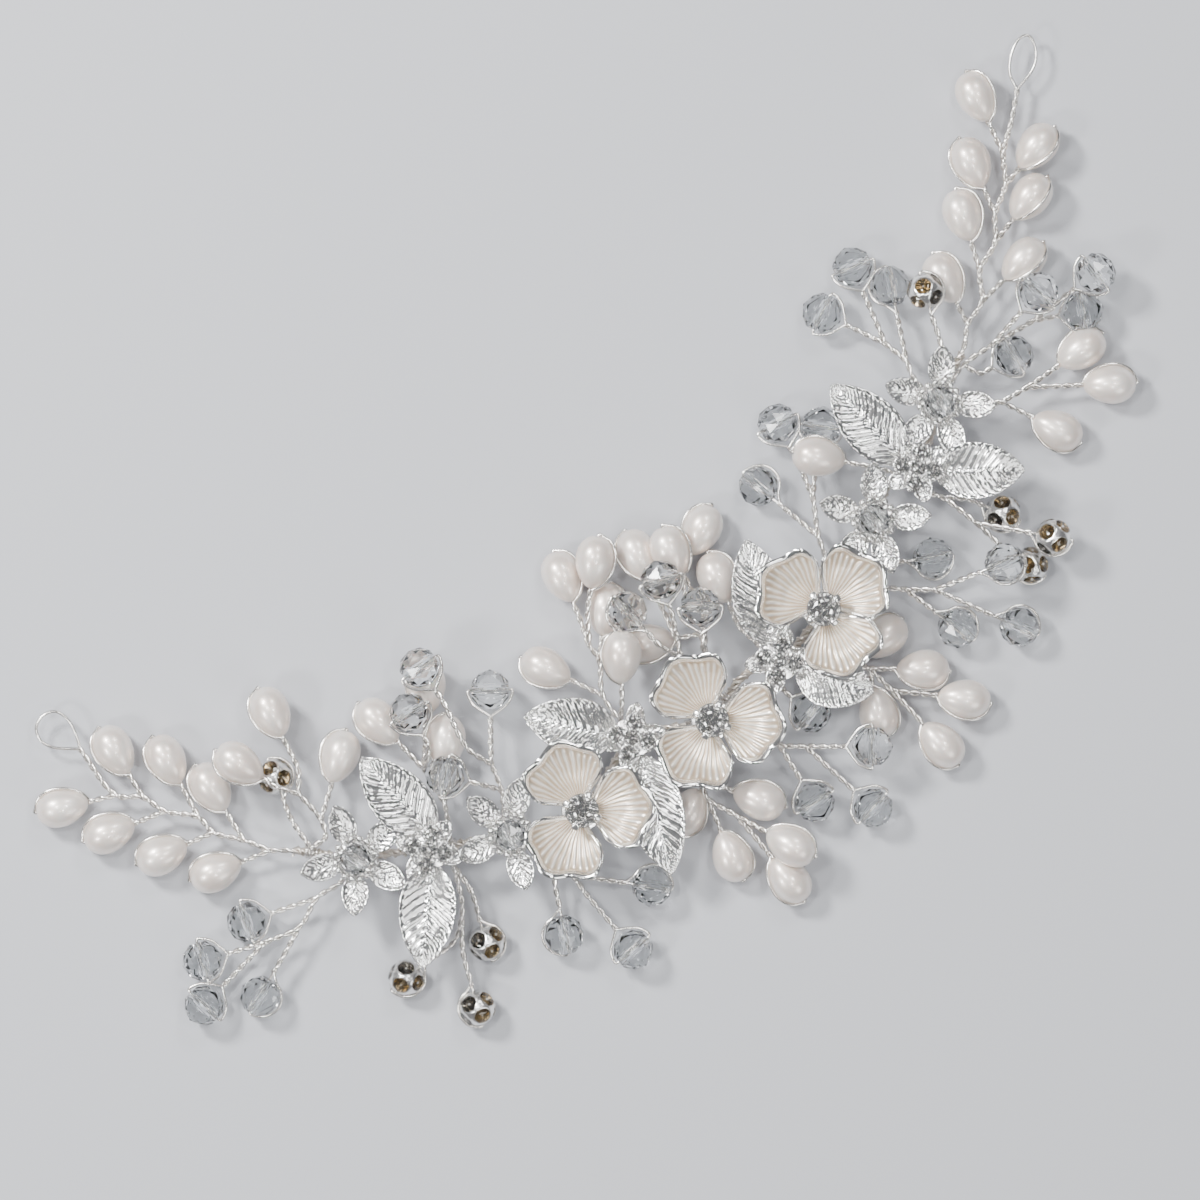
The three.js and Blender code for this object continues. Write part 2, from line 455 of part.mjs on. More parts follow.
for (const name of Object.keys(BENDS)) {
  add(name, `${name}_spine`, FINISHES.wire(), (grow) => spine(name, grow), SPINE[name][0]);
}
for (const [name, flower] of Object.entries(ENAMEL_FLOWERS)) {
  const anchor = [...flower.at, 0];
  add(flower.body, `enamel_flower_${name}`, FINISHES.enamel(), (g) => enamelFlower(flower, g), anchor);
  add(flower.body, `flower_stone_${name}`, FINISHES.rhinestone(), (g) => setStone(flower, g), anchor);
}
for (const [name, pair] of Object.entries(LEAF_PAIRS)) {
  const anchor = [...pair.at, BRIDGE.bottom];
  add(pair.body, `leaf_pair_${name}`, FINISHES.silver(), (g) => leafPair(pair, g), anchor);
  add(pair.body, `stone_cluster_${name}`, FINISHES.rhinestone(), (g) => cluster(pair, g), anchor);
}
for (const [name, flower] of Object.entries(SMALL_FLOWERS)) {
  const anchor = [...flower.at, STAR_PLATE.bottom];
  add(flower.body, `small_flower_${name}`, FINISHES.silver(), (g) => smallFlower(flower, g), anchor);
  const bead = (g) => smallFlowerBead(flower, g);
  add(flower.body, `small_flower_bead_${name}`, FINISHES.crystal(), bead, anchor);
}
for (const [side, pearls] of Object.entries(TIP_PEARLS)) {
  pearls.forEach(([at, fork], i) => {
    add(side, `${side}_pearl_${i + 1}`, FINISHES.pearl(), (g) => pearl(at, headingOf(fork, at), g), at);
  });
}
for (const [name, shape] of Object.entries(SPRAYS)) {
  const beads = new Set(shape.twigs.map(([kind]) => kind));
  const material = beads.has('pearl') ? FINISHES.pearl() : FINISHES.crystal();
  add(shape.body, name, material, (g) => spray(shape, g), shape.trunk[0]);
}

export default vine;
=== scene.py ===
import math
import random

import bpy
import numpy as np
from mathutils import Matrix, Vector, noise


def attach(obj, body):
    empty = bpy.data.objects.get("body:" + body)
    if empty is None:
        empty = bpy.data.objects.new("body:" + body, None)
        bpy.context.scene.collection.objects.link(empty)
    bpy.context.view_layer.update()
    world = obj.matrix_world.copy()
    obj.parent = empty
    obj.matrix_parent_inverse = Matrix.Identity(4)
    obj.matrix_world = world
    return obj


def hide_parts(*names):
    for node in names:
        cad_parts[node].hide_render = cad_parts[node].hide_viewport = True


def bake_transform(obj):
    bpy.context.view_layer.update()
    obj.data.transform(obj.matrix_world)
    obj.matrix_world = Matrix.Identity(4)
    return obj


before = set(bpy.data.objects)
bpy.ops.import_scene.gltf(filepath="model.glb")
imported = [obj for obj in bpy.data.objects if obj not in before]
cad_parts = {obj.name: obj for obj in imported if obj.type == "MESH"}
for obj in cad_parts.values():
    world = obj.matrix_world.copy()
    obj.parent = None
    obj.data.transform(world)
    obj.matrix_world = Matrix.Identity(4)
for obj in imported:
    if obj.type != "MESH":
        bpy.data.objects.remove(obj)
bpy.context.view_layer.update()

MM = 0.001
rng = random.Random(11)

# ---- Table, lights and camera --------------------------------------------------------------
# The vine lies on a plain pale table under soft lights, with the strongest one above its
# hollow side. The camera looks straight down, turned so that the arc climbs to the right.
TABLE_SIZE = 3.0
PAPER_COLOUR = (0.50, 0.51, 0.54)
ROOM_COLOUR = (0.80, 0.82, 0.86)
ROOM_LIGHT = 0.2
VIEW_CENTRE = (-0.0064, 0.0101)
VIEW_TURN = math.radians(-34.8)
VIEW_WIDTH = 0.1752
CAMERA_HEIGHT = 1.5
SOFTBOXES = (
    ("key", (-0.16, 0.52, 0.55), 0.14, 8.0),
    ("left", (-0.50, 0.06, 0.50), 0.12, 2.0),
    ("right", (0.42, 0.30, 0.60), 0.16, 1.6),
    ("front", (0.10, -0.60, 0.50), 0.30, 1.3),
    ("high_left", (-0.14, 0.24, 0.85), 0.12, 2.6),
    ("high_right", (0.26, -0.04, 0.85), 0.10, 1.6),
    ("high_front", (-0.06, -0.26, 0.85), 0.08, 1.0),
)

bpy.ops.object.select_all(action="DESELECT")
bpy.ops.mesh.primitive_plane_add(size=TABLE_SIZE)
table_top = bpy.context.object
table_top.name = "table_top"
paper = bpy.data.materials.new("pale_paper")
paper.use_nodes = True
paper_shader = paper.node_tree.nodes["Principled BSDF"]
paper_shader.inputs["Base Color"].default_value = (*PAPER_COLOUR, 1)
paper_shader.inputs["Roughness"].default_value = 0.85
table_top.data.materials.append(paper)

for name, place, size, power in SOFTBOXES:
    bpy.ops.object.light_add(type="AREA", location=place)
    softbox = bpy.context.object
    softbox.name = f"softbox_{name}"
    softbox.data.size = size
    softbox.data.energy = power
    softbox.rotation_euler = Vector(place).to_track_quat("Z", "Y").to_euler()

world = bpy.data.worlds.new("studio")
world.use_nodes = True
room = world.node_tree.nodes["Background"]
room.inputs["Color"].default_value = (*ROOM_COLOUR, 1)
room.inputs["Strength"].default_value = ROOM_LIGHT
bpy.context.scene.world = world

bpy.ops.object.camera_add(location=(*VIEW_CENTRE, CAMERA_HEIGHT), rotation=(0, 0, VIEW_TURN))
camera = bpy.context.object
camera.data.lens = camera.data.sensor_width * CAMERA_HEIGHT / VIEW_WIDTH
camera.data.clip_end = 10
bpy.context.scene.camera = camera

# ---- Spine wire ----------------------------------------------------------------------------
# Silver-plated copper wire, 0.45 mm thick, twisted in pairs. The two tips of the spine are one
# pair each, opened at the end into a single-wire loop for a hairpin; the middle is three
# thicker strands with a thin wire wound over them, where the ends of the sprays are bound in.
WIRE_RADIUS = 0.225 * MM
PAIR_SPREAD = 0.24 * MM
PAIR_PITCH = 3.2 * MM
ROPE_SPREAD = 0.34 * MM
ROPE_STRAND = 0.27 * MM
ROPE_PITCH = 3.8 * MM
COIL_SPREAD = 0.66 * MM
COIL_PITCH = 1.5 * MM
COIL_WIRE = 0.16 * MM
COIL_STEP = 0.12 * MM
STEP = 0.3 * MM
CURVE_STEPS = 24
GRAIN_DEPTH = 0.05 * MM
SPINE = {
    "left_tip": [(-81, 35.5, 3.2), (-80.5, 27, 3.4), (-77.5, 24.5, 3.4), (-76, 21, 3.4),
                 (-72.5, 17.5, 3.4), (-72, 14.5, 3.4), (-69, 11, 3.5), (-66.5, 7.5, 3.6), (-65.1, 6.5, 3.6)],
    "left_wing": [(-64, 5.6, 3.6), (-62.5, 4.5, 3.6), (-57, -0.5, 3.6), (-52, -3, 3.6), (-47.5, -5.5, 3.6),
                  (-36.5, -10.5, 3.6), (-31.5, -12.5, 3.6), (-26, -13.5, 3.6), (-19, -11, 3.6),
                  (-14, -9, 3.6), (-9.7, -10.6, 3.6)],
    "centre": [(-8.5, -11.1, 3.6), (-6, -12.5, 3.6), (-3, -13.5, 3.6), (0, -12.5, 3.6), (3.3, -11.1, 3.6)],
    "right_wing": [(4.7, -10.9, 3.6), (7.5, -11, 3.6), (10, -12, 3.6), (14, -11.5, 3.6), (19.5, -9.5, 3.6),
                   (26.5, -6, 3.6), (33, -3, 3.6), (38, 0, 3.6), (42.5, -0.5, 3.6), (47, 2.5, 3.6),
                   (50.5, 5.5, 3.6), (57.5, 9.6, 3.6)],
    "right_tip": [(58.6, 10.5, 3.6), (60.5, 12.5, 3.6), (64, 14, 3.6), (66.5, 18, 3.4), (70.5, 20, 3.4),
                  (73, 23.5, 3.4), (76.5, 26, 3.4), (79, 30, 3.4), (83, 33.5, 3.3), (86, 36.5, 3.2)],
}
LOOPS = {
    "left_tip": [(-81, 35.5, 3.2), (-80.3, 37.5, 3.2), (-80, 40, 3.2), (-80.8, 42, 3.2), (-82.5, 42.6, 3.2),
                 (-84.4, 41.8, 3.2), (-85, 40, 3.2), (-84.3, 38.2, 3.2), (-81, 35.5, 3.2)],
    "right_tip": [(86, 36.5, 3.2), (86.4, 39, 3.2), (88.2, 41.2, 3.2), (90.5, 42.4, 3.2), (91.8, 42, 3.2),
                  (91.5, 39.8, 3.2), (89.8, 37.8, 3.2), (86, 36.5, 3.2)],
}


def new_material(name, settings):
    """A material with the given values in the sockets of its Principled shader."""
    made = bpy.data.materials.new(name)
    made.use_nodes = True
    for socket, value in settings.items():
        made.node_tree.nodes["Principled BSDF"].inputs[socket].default_value = value
    return made


def add_node(material, kind, values, **feeds):
    """Adds a node to a material, sets its values and links the outputs that feed it."""
    added = material.node_tree.nodes.new(kind)
    for socket, value in values.items():
        added.inputs[socket].default_value = value
    for socket, output in feeds.items():
        material.node_tree.links.new(output, added.inputs[socket])
    return added


def feed(material, socket, output):
    """Links an output to a socket of a material's Principled shader."""
    shader = material.node_tree.nodes["Principled BSDF"]
    material.node_tree.links.new(output, shader.inputs[socket])


def noise_over(material, scale, detail=2):
    """The output of a noise that is fixed to the piece."""
    place = add_node(material, "ShaderNodeTexCoord", {})
    values = {"Scale": scale, "Detail": detail}
    return add_node(material, "ShaderNodeTexNoise", values, Vector=place.outputs["Object"]).outputs["Fac"]


def vary_polish(material, output, low, high):
    """Lets the roughness of a material wander from low to high with an output."""
    polish = add_node(material, "ShaderNodeMapRange", {"To Min": low, "To Max": high}, Value=output)
    feed(material, "Roughness", polish.outputs["Result"])


def add_grain(material, output, strength):
    """Makes the surface of a material finely uneven."""
    values = {"Strength": strength, "Distance": GRAIN_DEPTH}
    uneven = add_node(material, "ShaderNodeBump", values, Height=output)
    feed(material, "Normal", uneven.outputs["Normal"])


def metal(name, colour, roughness, grain, grain_scale):
    """A bright plated metal whose polish varies a little and that is finely uneven."""
    made = new_material(name, {"Base Color": (*colour, 1), "Metallic": 1})
    speckle = noise_over(made, grain_scale, 4)
    vary_polish(made, speckle, roughness * 0.6, roughness * 1.4)
    add_grain(made, speckle, grain)
    return made


plated_wire = metal("plated_wire", (0.86, 0.83, 0.79), 0.22, 0.3, 900)
wound_wire = metal("wound_wire", (0.78, 0.72, 0.65), 0.3, 0.4, 900)


def smooth(places, gap=STEP):
    """Evenly spaced points of a smooth curve through places given in millimetres."""
    knots = [Vector(p) * MM for p in places]
    knots = [2 * knots[0] - knots[1], *knots, 2 * knots[-1] - knots[-2]]
    dense = []
    for a, b, c, d in zip(knots, knots[1:], knots[2:], knots[3:]):
        t1 = math.sqrt((b - a).length)
        t2 = t1 + math.sqrt((c - b).length)
        t3 = t2 + math.sqrt((d - c).length)
        for i in range(CURVE_STEPS):
            t = t1 + (t2 - t1) * i / CURVE_STEPS
            ab = a.lerp(b, t / t1)
            bc = b.lerp(c, (t - t1) / (t2 - t1))
            cd = c.lerp(d, (t - t2) / (t3 - t2))
            abc = ab.lerp(bc, t / t2)
            bcd = bc.lerp(cd, (t - t1) / (t3 - t1))
            dense.append(abc.lerp(bcd, (t - t1) / (t2 - t1)))
    dense.append(knots[-2])
    along = np.cumsum([0, *[(q - p).length for p, q in zip(dense, dense[1:])]])
    count = max(2, round(along[-1] / gap) + 1)
    wanted = np.linspace(0, along[-1], count)
    table = np.array(dense)
    return [Vector([np.interp(s, along, table[:, k]) for k in range(3)]) for s in wanted]


def sides(points):
    """For each point of a route, its direction and two directions square to it, carried along."""
    framed = []
    across = None
    for i, point in enumerate(points):
        ahead = (points[min(i + 1, len(points) - 1)] - points[max(i - 1, 0)]).normalized()
        if across is None:
            across = ahead.cross(Vector((0, 0, 1)))
            if across.length < 0.1:
                across = ahead.cross(Vector((0, 1, 0)))
        across = (across - ahead * across.dot(ahead)).normalized()
        framed.append((point, across, ahead.cross(across)))
    return framed


def new_wires():
    """An empty curve that round wires are added to, and that becomes one mesh when finished."""
    wires = bpy.data.curves.new("wires", "CURVE")
    wires.dimensions = "3D"
    wires.bevel_depth = WIRE_RADIUS
    wires.bevel_resolution = 2
    wires.use_fill_caps = True
    return wires


def lay(wires, points, radius=WIRE_RADIUS):
    """Adds one round wire along points in metres."""
    spline = wires.splines.new("POLY")
    spline.points.add(len(points) - 1)
    for knot, point in zip(spline.points, points):
        knot.co = (*point, 1)
        knot.radius = radius / WIRE_RADIUS


def twist(wires, points, strands=2, spread=PAIR_SPREAD, pitch=PAIR_PITCH, radius=WIRE_RADIUS, start=0.0):
    """Adds wires twisted round each other along points in metres."""
    framed = sides(points)
    for k in range(strands):
        turned = []
        travelled = 0.0
        for i, (point, across, up) in enumerate(framed):
            travelled += (point - framed[i - 1][0]).length if i else 0
            angle = start + 2 * math.pi * (travelled / pitch + k / strands)
            turned.append(point + spread * (math.cos(angle) * across + math.sin(angle) * up))
        lay(wires, turned, radius)


def select_only(piece):
    """Makes a piece the active one and the only one selected."""
    bpy.ops.object.select_all(action="DESELECT")
    piece.select_set(True)
    bpy.context.view_layer.objects.active = piece


def apply_modifier(piece, kind, **settings):
    """Gives the active piece a modifier and applies it."""
    added = piece.modifiers.new(kind, kind)
    for setting, value in settings.items():
        setattr(added, setting, value)
    bpy.ops.object.modifier_apply(modifier=kind)


def finish_wires(wires, name, material, body, *nodes):
    """Turns the laid wires into one mesh that rides on its length of the vine."""
    holder = bpy.data.objects.new(name, wires)
    bpy.context.collection.objects.link(holder)
    select_only(holder)
    bpy.ops.object.convert(target="MESH")
    bpy.ops.object.shade_smooth()
    holder.data.materials.clear()
    holder.data.materials.append(material)
    if nodes:
        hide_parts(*nodes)
    if body:
        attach(holder, body)
    return holder


for body, places in SPINE.items():
    wires = new_wires()
    if body in LOOPS:
        twist(wires, smooth(places))
        lay(wires, smooth(LOOPS[body]))
        finish_wires(wires, f"{body}_spine_wire", plated_wire, body, f"{body}_spine")
    else:
        twist(wires, smooth(places), 3, ROPE_SPREAD, ROPE_PITCH, ROPE_STRAND)
        twist(wires, smooth(places, COIL_STEP), 1, COIL_SPREAD, COIL_PITCH, COIL_WIRE)
        finish_wires(wires, f"{body}_spine_wire", wound_wire, body, f"{body}_spine")

# ---- Bare bends ----------------------------------------------------------------------------
# Between two lengths of the vine the spine is bare wire, and this is where it is bent to the head.
# Each bend is wire like that of a neighbour, baked in place and given no body.
BENDS = (
    ("left_outer_bend", "left_wing", "left_tip", (-64, 5.6, 3.6), (-65.1, 6.5, 3.6), 2),
    ("left_inner_bend", "centre", "left_wing", (-8.5, -11.1, 3.6), (-9.7, -10.6, 3.6), 3),
    ("right_inner_bend", "centre", "right_wing", (3.3, -11.1, 3.6), (4.7, -10.9, 3.6), 3),
    ("right_outer_bend", "right_wing", "right_tip", (57.5, 9.6, 3.6), (58.6, 10.5, 3.6), 2),
)
BEND_OVERLAP = 0.5

for name, near_body, far_body, near, far, strands in BENDS:
    near, far = Vector(near), Vector(far)
    along = (far - near).normalized() * BEND_OVERLAP
    points = smooth([near - along, near, far, far + along], STEP / 2)
    wires = new_wires()
    if strands == 2:
        twist(wires, points)
        bend = finish_wires(wires, f"{name}_wire", plated_wire, None)
    else:
        twist(wires, points, strands, ROPE_SPREAD, ROPE_PITCH, ROPE_STRAND)
        bend = finish_wires(wires, f"{name}_wire", wound_wire, None)
    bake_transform(bend)

# ---- Pearls --------------------------------------------------------------------------------
# Imitation drop pearls, 5.6 by 7.8 mm: a moulded core drilled lengthwise and dipped in ivory
# pearl lacquer, silky with a soft inner glow. The broad end points away from the stem.
PEARL_RADIUS = 2.8 * MM
PEARL_HALF = 3.9 * MM
PEARL_NECK = 3.95 * MM
PEARL_BROADER = 0.16
PEARL_SLIMMER = 0.04
DIMPLE_DEPTH = 0.35 * MM
DIMPLE_WIDTH = 0.22
WIRE_BACK_STEPS = 16
WIRE_GAP = 0.25 * MM
TIP_PEARLS = {
    "left_tip": [((-88, 30, 2.9), (-80.5, 27, 3.4), 70), ((-77, 32.5, 2.9), (-77.5, 24.5, 3.4), -75),
                 ((-84.5, 23, 2.9), (-76, 21, 3.4), 80), ((-71.5, 27, 2.9), (-72.5, 17.5, 3.4), -70),
                 ((-80, 16, 2.9), (-72, 14.5, 3.4), 75), ((-68.5, 20, 2.9), (-69, 11, 3.5), -75),
                 ((-75, 9.5, 2.9), (-66.5, 7.5, 3.6), 70)],
    "right_tip": [((61.5, 20, 2.9), (60.5, 12.5, 3.6), 75), ((72.5, 15.5, 2.9), (64, 14, 3.6), 40),
                  ((69, 26, 2.9), (66.5, 18, 3.4), 80), ((78.5, 22.5, 2.9), (70.5, 20, 3.4), 35),
                  ((74.5, 31.5, 2.9), (73, 23.5, 3.4), -80), ((83.5, 28, 2.9), (76.5, 26, 3.4), 45),
                  ((80.5, 39, 2.9), (79, 30, 3.4), 60)],
}


def add_tint(material, output, *stops):
    """Colours a material with an output, between stops that are a position and a colour each."""
    tint = add_node(material, "ShaderNodeValToRGB", {}, Fac=output)
    for element, (position, colour) in zip(tint.color_ramp.elements, stops):
        element.position = position
        element.color = (*colour, 1)
    feed(material, "Base Color", tint.outputs["Color"])


def pearl_lacquer():
    """Ivory pearl: a translucent body under a glossy coat, with faint warm and cool clouds."""
    made = new_material("pearl_lacquer", {
        "Metallic": 0.42, "Subsurface Weight": 0.25, "Subsurface Radius": (0.9, 0.6, 0.45),
        "Subsurface Scale": 1.0 * MM, "Coat Weight": 0.8, "Coat Roughness": 0.07,
        "Sheen Weight": 0.25, "Sheen Roughness": 0.4, "Sheen Tint": (1.0, 0.93, 0.90, 1)})
    clouds = noise_over(made, 260, 3)
    add_tint(made, clouds, (0.3, (0.86, 0.75, 0.67)), (0.7, (0.93, 0.86, 0.80)))
    vary_polish(made, clouds, 0.3, 0.42)
    add_grain(made, noise_over(made, 1500), 0.12)
    return made


ivory = pearl_lacquer()


def pearl_outline(along):
    """Radius of a pearl at a place along its length, from -1 at the neck to 1 at the broad end."""
    round_one = PEARL_RADIUS * math.sqrt(max(0.0, 1 - along * along))
    return round_one * (1 + PEARL_BROADER * along - PEARL_SLIMMER * along * along)


bpy.ops.object.select_all(action="DESELECT")
bpy.ops.mesh.primitive_uv_sphere_add(segments=32, ring_count=24, radius=1)
pearl_pattern = bpy.context.object
for vertex in pearl_pattern.data.vertices:
    aside = math.hypot(vertex.co.x, vertex.co.y)
    width = pearl_outline(vertex.co.z) / aside if aside > 1e-4 else 0
    # The drilled hole at the broad end leaves a small dimple under the wire.
    dimple = DIMPLE_DEPTH * max(0.0, 1 - aside / DIMPLE_WIDTH) if vertex.co.z > 0 else 0
    vertex.co = (vertex.co.x * width, vertex.co.y * width, vertex.co.z * PEARL_HALF - dimple)
bpy.ops.object.shade_smooth()
pearl_pattern.data.materials.append(ivory)


def copy_of(pattern, name, frame_of_piece, body):
    """A copy of a modelled piece with its own mesh, placed in its mesh and riding on its body."""
    piece = bpy.data.objects.new(name, pattern.data.copy())
    piece.data.name = name
    piece.data.transform(frame_of_piece)
    bpy.context.collection.objects.link(piece)
    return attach(piece, body)


def pointing(at, heading, roll=0.0):
    """Frame of a bead: its middle, its own Z along the heading, its X level before the roll."""
    level = heading.cross(Vector((0, 0, 1))).normalized()
    turned = Matrix((level, heading.cross(level), heading)).transposed()
    return Matrix.Translation(at) @ turned.to_4x4() @ Matrix.Rotation(roll, 4, "Z")


def add_pearl(wires, name, at, way, wire_side, body):
    """A pearl on its twisted stem, with the wire that comes back to the stem along one side."""
    at, last = Vector(at) * MM, Vector(way[-1]) * MM
    heading = (at - last).normalized()
    neck = at - heading * PEARL_NECK
    twist(wires, smooth([*way, neck / MM]), start=rng.uniform(0, math.pi))
    bead_frame = pointing(at, heading, math.radians(wire_side))
    back = [Vector((0, 0, PEARL_HALF - 0.5 * MM)), Vector((0, -0.2 * MM, PEARL_HALF + WIRE_GAP))]
    for i in range(1, WIRE_BACK_STEPS):
        along = math.cos(math.pi * i / WIRE_BACK_STEPS)
        clear = pearl_outline(along) + WIRE_RADIUS * 1.1
        back.append(Vector((0, -clear, along * PEARL_HALF)))
    back.append(Vector((0, 0, -PEARL_NECK - 0.3 * MM)))
    back = [bead_frame @ p for p in back]
    lay(wires, smooth([p / MM for p in back], STEP))
    return copy_of(pearl_pattern, name, bead_frame, body)


for body, pearls in TIP_PEARLS.items():
    wires = new_wires()
    for i, (at, fork, wire_side) in enumerate(pearls):
        bead = add_pearl(wires, f"{body}_drop_pearl_{i + 1}", at, [fork], wire_side, body)
        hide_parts(f"{body}_pearl_{i + 1}")
    finish_wires(wires, f"{body}_pearl_stems", plated_wire, body)

# ---- Sprays of beads -----------------------------------------------------------------------
# Twisted twigs that fork off one stem, wound round the spine where it starts. Most clear beads
# are held across their twig: the wire goes through and both ends come back round. The other
# clear beads, the pearls and the silver balls with foiled stones sit lengthwise.
BEAD_RADIUS = 3.0 * MM
BEAD_HALF = 2.7 * MM
BORE_RADIUS = 0.5 * MM
BEAD_FACETS = 10
BEAD_NECK = 3.9 * MM
BEAD_OUTLINE = ((0.5, -0.96), (1.25, -1.0), (2.42, -0.62), (3.0, 0.0),
                (2.42, 0.62), (1.25, 1.0), (0.5, 0.96))
BALL_RADIUS = 2.55 * MM
BALL_STONE = 1.3 * MM
BALL_STONE_DEPTH = 0.5 * MM
BALL_STONE_TABLE = 0.3 * MM
BALL_STONE_SINK = 0.25 * MM
BALL_CUP_LEAN = math.radians(62)
BALL_CUP_DEPTH = 0.7 * MM
BALL_HOLE = 0.65 * MM
BALL_HOLE_DEPTH = 0.5 * MM
BALL_LIP = 0.14 * MM
BALL_NECK = BALL_RADIUS + 0.8 * MM
BRILLIANT_OUTLINE = ((0.04, -1.0), (0.5, -0.56), (1.0, -0.06), (0.92, 0.3), (0.7, 0.78), (0.46, 1.0))
SMALL_STONE = 1.6 * MM
HELD_ACROSS = 0.7
PEARL_WIRE_SIDE = 78
WINDING_REACH = 3
WINDING_STEP = 0.1 * MM
WINDING_SPREAD = 0.86 * MM
WINDING_PITCH = 0.5 * MM
